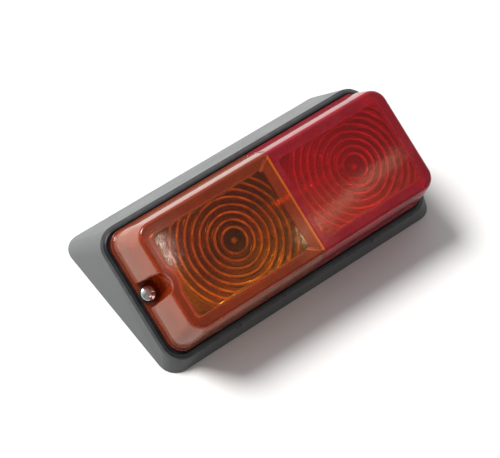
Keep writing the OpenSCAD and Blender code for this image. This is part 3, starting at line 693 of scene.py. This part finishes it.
# %% The screw
HEAD_RADIUS, HEAD_HEIGHT, HEAD_EDGE = 3.5, 2.6, 1.5
RECESS_DEPTH, RECESS_ARM, RECESS_HALF, RECESS_SOFT = 1.5, 2.3, 0.42, 0.12
RECESS_FULL = 1.5                      # the cross is at full depth within this radius
SHANK_RADIUS, THREAD_DEPTH, THREAD_PITCH, SHANK_END = 1.7, 0.18, 0.7, -6.0
THREAD_TOP, THREAD_FULL = 3.0, 2.2     # the thread starts and is full at these heights
SCREW_SPOKES, DOME_ROWS, THREAD_ROWS = 96, 34, 110


def build_screw():
    """Rows of (radius, height): the dome z = top - d (r / R)^2 less the cross, the head's side, the thread
    r = r0 + d (1 + cos(2 pi z / pitch - turn)) / 2, and the tip."""
    turn = np.linspace(0, 2 * np.pi, SCREW_SPOKES, endpoint=False)
    top = SCREW_Z + HEAD_HEIGHT
    rows = []
    for r in np.concatenate([np.linspace(0, HEAD_RADIUS - 0.25, DOME_ROWS), [HEAD_RADIUS - 0.08]]):
        x, y = np.abs(r * np.cos(turn)), np.abs(r * np.sin(turn))
        arm, width = np.maximum(x, y), np.minimum(x, y)
        inside = smooth_step(width, RECESS_HALF + RECESS_SOFT, RECESS_HALF - RECESS_SOFT)
        inside *= smooth_step(arm, RECESS_ARM, RECESS_FULL)
        dome = top - (HEAD_HEIGHT - HEAD_EDGE) * (r / HEAD_RADIUS) ** 2
        rows.append((r + 0 * turn, dome - RECESS_DEPTH * inside * (1 - 0.25 * arm / RECESS_ARM)))
    for r, z in ((HEAD_RADIUS, SCREW_Z + HEAD_EDGE - 0.15), (HEAD_RADIUS, SCREW_Z + 0.12),
                 (HEAD_RADIUS - 0.12, SCREW_Z), (SHANK_RADIUS + 0.1, SCREW_Z), (SHANK_RADIUS, SCREW_Z - 0.1)):
        rows.append((r + 0 * turn, z + 0 * turn))
    for z in np.linspace(THREAD_TOP, SHANK_END + 0.5, THREAD_ROWS):
        thread = THREAD_DEPTH * (0.5 + 0.5 * np.cos(2 * np.pi * z / THREAD_PITCH - turn))
        rows.append((SHANK_RADIUS + thread * smooth_step(z, THREAD_TOP, THREAD_FULL), z + 0 * turn))
    rows += [(SHANK_RADIUS - 0.5 + 0 * turn, SHANK_END + 0 * turn), (0 * turn, SHANK_END + 0 * turn)]
    radius, z = (np.stack([row[k] for row in rows]) for k in (0, 1))
    grid = lamp(SCREW_X + radius * np.cos(turn), radius * np.sin(turn), z)
    points, quads, tris = skin(grid)
    return new_piece("lens_screw_threaded", points, [tris, quads], "lens_fixing", "steel_screw",
                     ("lens_screw",))


screw = build_screw()
print("screw", len(screw.data.polygons), "faces")

# %% [markdown]
# ## Coils
# The filaments and the contact springs are wound wire, which a helix gives exactly: a circle carried along (c cos
# t, c sin t, rise t).

# %% Filaments and springs
FILAMENT_Z, FILAMENT_HALF, COIL_TURNS = 8.0, 3.0, 11
FILAMENT_COIL, FILAMENT_WIRE, POST_WIRE = 0.3, 0.09, 0.22      # radii
POST_BACK, POST_FOOT_Y = 6.4, 0.8      # where a post leaves the stem
SECOND_BACK, SECOND_LIFT = 2.6, -1.2   # the red bulb's second filament
WIRE_SIDES = 8
SPRING_LOW, SPRING_HIGH, SPRING_TURNS, PUSH = 2.85, 7.65, 5, 2.0


def helix(start, end, coil, turns, steps=14):
    """Points of a helix of radius coil about the line from start to end, in the lamp's frame."""
    start, end = np.array(start, float), np.array(end, float)
    axis = (end - start) / np.linalg.norm(end - start)
    first = np.cross(axis, [0.2, 0.1, 1.0])
    first /= np.linalg.norm(first)
    second = np.cross(axis, first)
    t = np.linspace(0, 1, turns * steps + 1)[:, None]
    angle = 2 * np.pi * turns * t
    p = start + (end - start) * t + coil * (np.cos(angle) * first + np.sin(angle) * second)
    return lamp(*p.T)


def straight(start, end):
    """A few points along a straight wire."""
    t = np.linspace(0, 1, 4)[:, None]
    return lamp(*(np.array(start) * (1 - t) + np.array(end) * t).T)


def build_filaments(name, node, side, posts):
    """A coil across the bulb for each pair of posts, at the ring centre or a little below it."""
    paths, radii = [], []
    for back, lift in posts:
        x, z = RING_X[side] - math.copysign(back, RING_X[side]), FILAMENT_Z + lift
        foot = x - math.copysign(POST_BACK - back, RING_X[side])
        paths.append(helix((x, -FILAMENT_HALF, z), (x, FILAMENT_HALF, z), FILAMENT_COIL, COIL_TURNS))
        radii.append(FILAMENT_WIRE)
        for end in (-1, 1):
            paths.append(straight((foot, POST_FOOT_Y * end, z), (x, FILAMENT_HALF * end, z)))
            radii.append(POST_WIRE)
    return wires_piece(name, paths, radii, WIRE_SIDES, f"bulb_{side}", "filament_metal", (node,))


def build_springs(name, node, side, centres, coil, wire):
    """Contact springs between the fixed tags and the plunger."""
    sign = 1 if side == "red" else -1
    low, high = JOINT_X + sign * SPRING_LOW, JOINT_X + sign * SPRING_HIGH
    paths = [helix((low, y, FILAMENT_Z), (high, y, FILAMENT_Z), coil, SPRING_TURNS) for y in centres]
    radii = [wire] * len(paths)
    piece = wires_piece(name, paths, radii, WIRE_SIDES, "lamp_base", "spring_steel", (node,))
    tuple(lamp(low, 0, FILAMENT_Z))
    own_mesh(piece)
    return piece


filament_amber = build_filaments("filament_coil_amber", "bulb_filament_amber", "amber", [(0.0, 0.0)])
filaments_red = build_filaments("filament_coils_red", "bulb_filaments_red", "red",
                                [(0.0, 0.0), (SECOND_BACK, SECOND_LIFT)])
spring_amber = build_springs("contact_spring_amber", "plunger_spring_amber", "amber", [0.0], 3.5, 0.3)
springs_red = build_springs("contact_springs_red", "plunger_springs_red", "red", [-3.2, 3.2], 1.6, 0.22)
print("coils:", [o.name for o in (filament_amber, filaments_red, spring_amber, springs_red)])

# %% [markdown]
# ## Finishes
# A material is a Principled shader fed by patterns. The patterns that several finishes share are node
# groups, built once: a moulded grain, drawn scratches, and dust that lies on faces that look up.

# %% Node helpers


def put(tree, kind, values=None, **settings):
    """Adds a node, sets its options, and sets or links its inputs by name or number."""
    made = tree.nodes.new(kind)
    for key, value in settings.items():
        setattr(made, key, value)
    for key, value in (values or {}).items():
        if isinstance(value, bpy.types.NodeSocket):
            tree.links.new(value, made.inputs[key])
        else:
            made.inputs[key].default_value = value
    return made


def ramp(tree, source, low, high, start=0.0, end=1.0):
    """Maps a value from low..high to start..end, held at both ends."""
    return put(tree, "ShaderNodeMapRange", {"Value": source, "From Min": low, "From Max": high,
                                            "To Min": start, "To Max": end}).outputs["Result"]


def blend_colour(tree, share, a, b):
    """A colour between a and b."""
    node = put(tree, "ShaderNodeMix", data_type="RGBA")
    for index, value in ((0, share), (6, a), (7, b)):
        if isinstance(value, bpy.types.NodeSocket):
            tree.links.new(value, node.inputs[index])
        else:
            node.inputs[index].default_value = value if index == 0 else (*value, 1.0)
    return node.outputs[2]             # a Mix node lists its colour sockets after those for numbers


def new_group(name, inputs, outputs):
    """An empty shader group with the named number inputs and the named outputs."""
    group = bpy.data.node_groups.new(name, "ShaderNodeTree")
    for label, value in inputs.items():
        group.interface.new_socket(label, in_out="INPUT", socket_type="NodeSocketFloat").default_value = value
    for label, kind in outputs.items():
        group.interface.new_socket(label, in_out="OUTPUT", socket_type=kind)
    return group, group.nodes.new("NodeGroupInput"), group.nodes.new("NodeGroupOutput")


def noise(tree, scale, detail=3.0, vector=None, rough=0.55):
    """A noise value on Object coordinates unless a vector is given."""
    vector = vector or put(tree, "ShaderNodeTexCoord").outputs["Object"]
    return put(tree, "ShaderNodeTexNoise", {"Vector": vector, "Scale": scale, "Detail": detail,
                                            "Roughness": rough}).outputs["Fac"]


print("node helpers:", [helper.__name__ for helper in (put, ramp, blend_colour, new_group, noise)])

# %% Shared patterns


def grain_group():
    """Moulded grain: fine stipple as relief, and slow blotches as a shade."""
    group, given, result = new_group("moulded_grain", {"Size": 0.0006, "Relief": 0.2},
                                     {"Shade": "NodeSocketFloat", "Normal": "NodeSocketVector"})
    scale = put(group, "ShaderNodeMath", {0: 1.0, 1: given.outputs["Size"]}, operation="DIVIDE").outputs[0]
    stipple = noise(group, scale, 2.0)
    blotch = noise(group, 45.0, 4.0)
    bump = put(group, "ShaderNodeBump", {"Strength": given.outputs["Relief"], "Distance": 0.0003,
                                         "Height": stipple})
    group.links.new(ramp(group, blotch, 0.3, 0.7), result.inputs["Shade"])
    group.links.new(bump.outputs["Normal"], result.inputs["Normal"])
    return group


def scratch_group():
    """Drawn or rubbed metal: noise drawn out into lines along x, as a mask and as relief."""
    group, given, result = new_group("drawn_scratches", {"Stretch": 12.0, "Relief": 0.15},
                                     {"Mask": "NodeSocketFloat", "Normal": "NodeSocketVector"})
    place = put(group, "ShaderNodeTexCoord").outputs["Object"]
    squeeze = put(group, "ShaderNodeCombineXYZ", {"X": 1.0, "Y": given.outputs["Stretch"],
                                                  "Z": given.outputs["Stretch"]}).outputs[0]
    drawn = put(group, "ShaderNodeVectorMath", {0: place, 1: squeeze}, operation="MULTIPLY").outputs[0]
    lines = noise(group, 160.0, 4.0, drawn, 0.7)
    bump = put(group, "ShaderNodeBump", {"Strength": given.outputs["Relief"], "Distance": 0.0002,
                                         "Height": lines})
    group.links.new(ramp(group, lines, 0.35, 0.65), result.inputs["Mask"])
    group.links.new(bump.outputs["Normal"], result.inputs["Normal"])
    return group


def dust_group():
    """Dust where a face looks up and a patchy noise lets it settle."""
    group, given, result = new_group("settled_dust", {"Amount": 0.3}, {"Mask": "NodeSocketFloat"})
    normal = put(group, "ShaderNodeTexCoord").outputs["Normal"]
    upward = put(group, "ShaderNodeSeparateXYZ", {0: normal}).outputs["Z"]
    patchy = ramp(group, noise(group, 300.0, 6.0), 0.45, 0.75)
    lying = put(group, "ShaderNodeMath", {0: ramp(group, upward, 0.2, 1.0), 1: patchy}, operation="MULTIPLY")
    mask = put(group, "ShaderNodeMath", {0: lying.outputs[0], 1: given.outputs["Amount"]},
               operation="MULTIPLY")
    group.links.new(mask.outputs[0], result.inputs["Mask"])
    return group


GRAIN, SCRATCHES, DUST = grain_group(), scratch_group(), dust_group()
print("groups:", [g.name for g in (GRAIN, SCRATCHES, DUST)])

# %% [markdown]
# Nearly everything but the lens is moulded plastic, rubber or bare metal. Each of those is one function,
# and a finish is a call with its own two shades, because real pieces of one kind differ in colour and
# gloss but not in how they are made. Painted maps would do it too, but a pattern made by a formula stays
# sharp at any distance.

# %% Opaque finishes


def new_material(name, **plain):
    """A material with its Principled shader, whose plain inputs are given by name."""
    material = bpy.data.materials.new(name)
    material.use_nodes = True
    tree = material.node_tree
    shader = tree.nodes["Principled BSDF"]
    for label, value in plain.items():
        shader.inputs[label.replace("_", " ")].default_value = value
    return material, tree, shader


def use_group(tree, group, **values):
    """Places a shared group with its own values."""
    made = tree.nodes.new("ShaderNodeGroup")
    made.node_tree = group
    for label, value in values.items():
        made.inputs[label].default_value = value
    return made.outputs


def plastic(name, dark, light, rough, size=0.0006, relief=0.2, dust=0.2, dust_colour=(0.5, 0.48, 0.44)):
    """Moulded plastic or rubber: two shades in blotches, stippled relief and some dust."""
    material, tree, shader = new_material(name)
    grain = use_group(tree, GRAIN, Size=size, Relief=relief)
    settled = use_group(tree, DUST, Amount=dust)["Mask"]
    body = blend_colour(tree, grain["Shade"], dark, light)
    tree.links.new(blend_colour(tree, settled, body, dust_colour), shader.inputs["Base Color"])
    tree.links.new(ramp(tree, grain["Shade"], 0, 1, rough - 0.05, rough + 0.08), shader.inputs["Roughness"])
    tree.links.new(grain["Normal"], shader.inputs["Normal"])
    return material


def metal(name, bright, tarnish, rough, stretch=12.0, relief=0.12, spots=0.0):
    """Bare or plated metal: drawn lines in the roughness and relief, and tarnish in slow patches."""
    material, tree, shader = new_material(name, Metallic=1.0)
    drawn = use_group(tree, SCRATCHES, Stretch=stretch, Relief=relief)
    patches = ramp(tree, noise(tree, 70.0, 5.0), 0.42 - spots, 0.72 - spots)
    tree.links.new(blend_colour(tree, patches, bright, tarnish), shader.inputs["Base Color"])
    tree.links.new(ramp(tree, drawn["Mask"], 0, 1, rough, rough + 0.14), shader.inputs["Roughness"])
    tree.links.new(drawn["Normal"], shader.inputs["Normal"])
    return material


finishes = {
    "housing_plastic": plastic("housing_plastic", (0.090, 0.095, 0.099), (0.112, 0.117, 0.121), 0.42,
                               relief=0.35, dust=0.12),
    "gasket_rubber": plastic("gasket_rubber", (0.006, 0.007, 0.009), (0.009, 0.011, 0.014), 0.42,
                             0.0009, 0.12, dust=0.03),
    "block_black": plastic("block_black", (0.012, 0.012, 0.012), (0.03, 0.03, 0.03), 0.4, dust=0.1),
    "phenolic": plastic("phenolic", (0.10, 0.035, 0.012), (0.20, 0.08, 0.03), 0.45, 0.0004, 0.25, dust=0.05),
    "solder": plastic("solder", (0.42, 0.42, 0.41), (0.60, 0.60, 0.58), 0.35, 0.0008, 0.3, dust=0.0),
    "lead_green": plastic("lead_green", (0.02, 0.16, 0.05), (0.04, 0.26, 0.08), 0.45, dust=0.1),
    "lead_brown": plastic("lead_brown", (0.12, 0.05, 0.02), (0.20, 0.09, 0.04), 0.45, dust=0.1),
    "lead_red": plastic("lead_red", (0.35, 0.015, 0.015), (0.5, 0.03, 0.03), 0.45, dust=0.1),
    "lead_white": plastic("lead_white", (0.62, 0.62, 0.58), (0.78, 0.78, 0.75), 0.45, dust=0.1),
    "steel_screw": metal("steel_screw", (0.82, 0.82, 0.83), (0.62, 0.61, 0.58), 0.16, 6.0),
    "tray_steel": metal("tray_steel", (0.72, 0.68, 0.56), (0.60, 0.51, 0.33), 0.30, 10.0, spots=0.05),
    "reflector_silver": metal("reflector_silver", (0.87, 0.83, 0.70), (0.74, 0.66, 0.46), 0.20, 4.0),
    "brass": metal("brass", (0.75, 0.55, 0.24), (0.42, 0.27, 0.11), 0.24, 8.0),
    "filament_metal": metal("filament_metal", (0.42, 0.42, 0.44), (0.25, 0.25, 0.27), 0.30, 4.0),
    "spring_steel": metal("spring_steel", (0.62, 0.63, 0.65), (0.42, 0.42, 0.42), 0.22, 4.0),
}
print(len(finishes), "opaque finishes")

# %% [markdown]
# Clear coloured plastic bends what lies behind it and tints it at each face. The walls and the frame are slightly
# milky, so that daylight shows on them. The rings of the real lamp show as bright lines, but their shape alone
# comes out dark here. So the lines are painted highlights: the value on the points gives their place, and feeds
# the colour and a painted glow, which noise breaks up so that it doesn't look drawn. The other value on the points
# is painted light too: a lighter tint standing for lit reflector behind the window.

# %% Lens finishes


PLASTIC_IOR, GLASS_IOR = 1.49, 1.5
# Strength of the painted glow along the ring highlights.
RING_GLOW = 0.62


def clear_plastic(name, window, lit_tint, highlight_colour, clear, rough=0.035):
    """Transparent plastic, painted lighter where its points carry painted light, with a painted glow along its
    painted highlight lines.
    """
    material, tree, shader = new_material(name, Transmission_Weight=clear, IOR=PLASTIC_IOR,
                                          Emission_Strength=RING_GLOW)
    painted_light = put(tree, "ShaderNodeAttribute", attribute_name="painted_light").outputs["Fac"]
    line = put(tree, "ShaderNodeAttribute", attribute_name="ring_highlight").outputs["Fac"]
    flow = ramp(tree, noise(tree, 60.0, 3.0), 0.3, 0.7, 0.55, 1.0)
    share = put(tree, "ShaderNodeMath", {0: painted_light, 1: flow}, operation="MULTIPLY").outputs[0]
    tint = blend_colour(tree, share, window, lit_tint)
    tree.links.new(blend_colour(tree, line, tint, highlight_colour), shader.inputs["Base Color"])
    broken = ramp(tree, noise(tree, 240.0, 3.0), 0.35, 0.65, 0.3, 1.0)
    uneven = ramp(tree, noise(tree, 35.0, 2.0), 0.35, 0.65, 0.4, 1.3)
    lit = put(tree, "ShaderNodeMath", {0: broken, 1: uneven}, operation="MULTIPLY").outputs[0]
    glow = put(tree, "ShaderNodeMath", {0: line, 1: lit}, operation="MULTIPLY").outputs[0]
    tree.links.new(blend_colour(tree, glow, (0.0, 0.0, 0.0), highlight_colour), shader.inputs["Emission Color"])
    tree.links.new(ramp(tree, noise(tree, 400.0, 4.0), 0.3, 0.8, rough, rough + 0.05),
                   shader.inputs["Roughness"])
    grain = use_group(tree, GRAIN, Size=0.004, Relief=0.04)
    tree.links.new(grain["Normal"], shader.inputs["Normal"])
    return material


def milky_plastic(name, deep, pale, clear, rough=0.06):
    """Plastic that scatters some light: a share of transmission over a diffuse colour with flow marks."""
    material, tree, shader = new_material(name, Transmission_Weight=clear, IOR=PLASTIC_IOR)
    grain = use_group(tree, GRAIN, Size=0.006, Relief=0.02)
    settled = use_group(tree, DUST, Amount=0.06)["Mask"]
    body = blend_colour(tree, grain["Shade"], deep, pale)
    tree.links.new(blend_colour(tree, settled, body, (0.6, 0.5, 0.42)), shader.inputs["Base Color"])
    tree.links.new(ramp(tree, grain["Shade"], 0, 1, rough, rough + 0.06), shader.inputs["Roughness"])
    tree.links.new(grain["Normal"], shader.inputs["Normal"])
    return material


def bulb_glass(name):
    """Thin clear glass with a trace of smoke from the filament."""
    material, tree, shader = new_material(name, Transmission_Weight=1.0, IOR=GLASS_IOR)
    smoke = ramp(tree, noise(tree, 90.0, 3.0), 0.4, 0.8, 0.0, 0.25)
    tree.links.new(blend_colour(tree, smoke, (0.97, 0.98, 0.98), (0.82, 0.82, 0.80)),
                   shader.inputs["Base Color"])
    tree.links.new(ramp(tree, smoke, 0, 0.25, 0.01, 0.04), shader.inputs["Roughness"])
    return material


# A clear finish takes its window tint, a lighter tint of painted light for lit reflector behind it, the colour of
# its painted ring highlights and glow, and how clear it is.
lens_finishes = {                      # one for each of the slots CLEAR, MILKY, DEEP and STRIP
    "amber": [
        clear_plastic("amber_clear", (0.44, 0.12, 0.02), (1.0, 0.46, 0.04), (1.0, 0.25, 0.025), 0.95),
        milky_plastic("amber_wall", (0.50, 0.16, 0.10), (0.60, 0.21, 0.13), 0.5),
        milky_plastic("amber_frame", (0.60, 0.07, 0.014), (0.80, 0.11, 0.02), 0.75),
        milky_plastic("amber_strip", (0.72, 0.11, 0.01), (0.85, 0.16, 0.015), 0.3),
    ],
    "red": [
        clear_plastic("red_clear", (0.72, 0.02, 0.03), (0.95, 0.16, 0.09), (0.70, 0.03, 0.03), 0.84),
        milky_plastic("red_wall", (0.42, 0.02, 0.035), (0.52, 0.035, 0.05), 0.5),
        milky_plastic("red_frame", (0.50, 0.010, 0.03), (0.64, 0.02, 0.045), 0.6),
    ],
}
finishes["clear_glass"] = bulb_glass("clear_glass")
print({name: [m.name for m in made] for name, made in lens_finishes.items()})

# %% [markdown]
# A new piece takes its finish by the slot it was built with. A CAD node keeps its mesh and place and only
# gets a material, found by the slot its record names, and smooth shading, which suits its many round
# pieces. The lens pieces already hold a slot number on every face, and clearing a list of materials would
# set those numbers back to 0, so the list is cleared only where there is one.

# %% Put the finishes on


def dress(piece, *materials):
    """Gives a piece its materials, one for each slot."""
    if len(piece.data.materials):
        piece.data.materials.clear()
    for material in materials:
        piece.data.materials.append(material)


dress(amber_lens, *lens_finishes["amber"])
dress(red_lens, *lens_finishes["red"])
dress(tongue, lens_finishes["red"][MILKY])
slot_of = {entry["node"]: entry["material_slot"] for entry in frame["record"]["subparts"]}
for name, cad_piece in nodes.items():
    if slot_of[name] in finishes:
        dress(cad_piece, finishes[slot_of[name]])
        cad_piece.data.polygons.foreach_set("use_smooth", np.ones(len(cad_piece.data.polygons), bool))
for piece in [*soft.values(), bead, screw, filament_amber, filaments_red, spring_amber, springs_red]:
    dress(piece, finishes[piece["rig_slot"]])

# %% [markdown]
# ## Floor and light
# The lamp lies on a plain pale floor. The light is that of a bright open sky: a soft sun about half-way
# up, beyond the deep side of the wedge, and a pale surround that is brightest on the same side. A glossy
# lens also mirrors what stands round it. Three small cards of light give it two warm patches low on its
# front and a white streak at its end. Placing them by eye would be slow, so each is put where a ray from
# the camera goes after it bounces off the lens.

# %% Floor and light
FLOOR_SIZE, FLOOR_GAP = 6.0, 0.0002    # metres
SUN_FROM = (-0.28, 0.61, 0.74)
SUN_STRENGTH, SUN_SPREAD, SUN_COLOUR = 4.0, 24.0, (1.0, 0.985, 0.96)
SURROUND_DIM, SURROUND_BRIGHT, SURROUND_STRENGTH = (0.42, 0.42, 0.41), (1.3, 1.33, 1.38), 0.5
CARD_DISTANCE = 1.0                    # metres from the lens
WARM_LIGHT = (1.0, 0.80, 0.50)
CARDS = {                # spot on the lens, heading along and across, length and width there, glow, colour
    "low_card": ((33.0, -10.5, LENS_TOP), (1.0, 0.14), 62.0, 6.0, 2.2, WARM_LIGHT),
    "joint_card": ((3.5, -15.5, LENS_TOP), (1.0, 0.3), 9.0, 6.0, 8.0, WARM_LIGHT),
    "end_card": ((-61.0, 12.5, LENS_TOP), (0.12, 1.0), 15.0, 2.0, 22.0, (1.0, 0.97, 0.95)),
}


def add_floor():
    """One large square just under the lamp's back face."""
    half = FLOOR_SIZE / 2
    mesh = bpy.data.meshes.new("floor")
    z = cad_low.z - FLOOR_GAP
    corners = [(-half, -half, z), (half, -half, z), (half, half, z), (-half, half, z)]
    mesh.from_pydata(corners, [], [(0, 1, 2, 3)])
    floor = bpy.data.objects.new("floor", mesh)
    bpy.context.scene.collection.objects.link(floor)
    material, tree, shader = new_material("floor_paper", Roughness=0.9)
    tint = ramp(tree, noise(tree, 8.0, 4.0), 0.3, 0.7)
    paper = blend_colour(tree, tint, (0.86, 0.86, 0.86), (0.89, 0.89, 0.89))
    tree.links.new(paper, shader.inputs["Base Color"])
    mesh.materials.append(material)
    return floor


def add_sun():
    """A sun whose wide disc gives soft shadows."""
    data = bpy.data.lights.new("sun", "SUN")
    data.energy, data.angle = SUN_STRENGTH, math.radians(SUN_SPREAD)
    data.color = SUN_COLOUR
    sun = bpy.data.objects.new("sun", data)
    sun.rotation_mode = "QUATERNION"
    sun.rotation_quaternion = (-Vector(SUN_FROM)).to_track_quat("-Z", "Y")
    bpy.context.scene.collection.objects.link(sun)
    return sun


def add_surround():
    """A pale surround that is bright beyond the lamp's deep side and dim behind its shallow side."""
    world = bpy.data.worlds.new("surround")
    world.use_nodes = True
    tree = world.node_tree
    side = put(tree, "ShaderNodeSeparateXYZ", {0: put(tree, "ShaderNodeTexCoord").outputs["Generated"]})
    share = ramp(tree, side.outputs["Y"], -0.35, 0.75)
    colour = blend_colour(tree, share, SURROUND_DIM, SURROUND_BRIGHT)
    tree.links.new(colour, tree.nodes["Background"].inputs["Color"])
    tree.nodes["Background"].inputs["Strength"].default_value = SURROUND_STRENGTH
    bpy.context.scene.world = world


def add_card(name, spot, heading, length, width, glow, colour):
    """A small light card whose mirror image falls on a spot of the lens's front. The ray d from the camera
    to the spot leaves it as d - 2 (d . n) n, and the card waits on it, scaled up by the longer path."""
    target = Vector(lamp(*spot))
    normal = Vector(outward)
    ray = (target - camera.location).normalized()
    bounce = ray - 2 * ray.dot(normal) * normal
    scale = 1 + CARD_DISTANCE / (target - camera.location).length
    data = bpy.data.lights.new(name, "AREA")
    data.shape, data.size, data.size_y = "RECTANGLE", length * MM * scale, width * MM * scale
    data.energy, data.color = glow * math.pi * data.size * data.size_y, colour
    card = bpy.data.objects.new(name, data)
    card.location = target + CARD_DISTANCE * bounce
    side = Vector(heading[0] * along + heading[1] * across)
    side = (side - side.dot(bounce) * bounce).normalized()
    axes = Matrix((side, bounce.cross(side), bounce)).transposed()
    card.rotation_mode = "QUATERNION"
    card.rotation_quaternion = axes.to_quaternion()
    bpy.context.scene.collection.objects.link(card)
    return card


floor, sun = add_floor(), add_sun()
cards = [add_card(name, *facts) for name, facts in CARDS.items()]
add_surround()
bpy.context.scene.view_settings.view_transform = "Standard"
print("stage:", floor.name, sun.name, [card.name for card in cards])
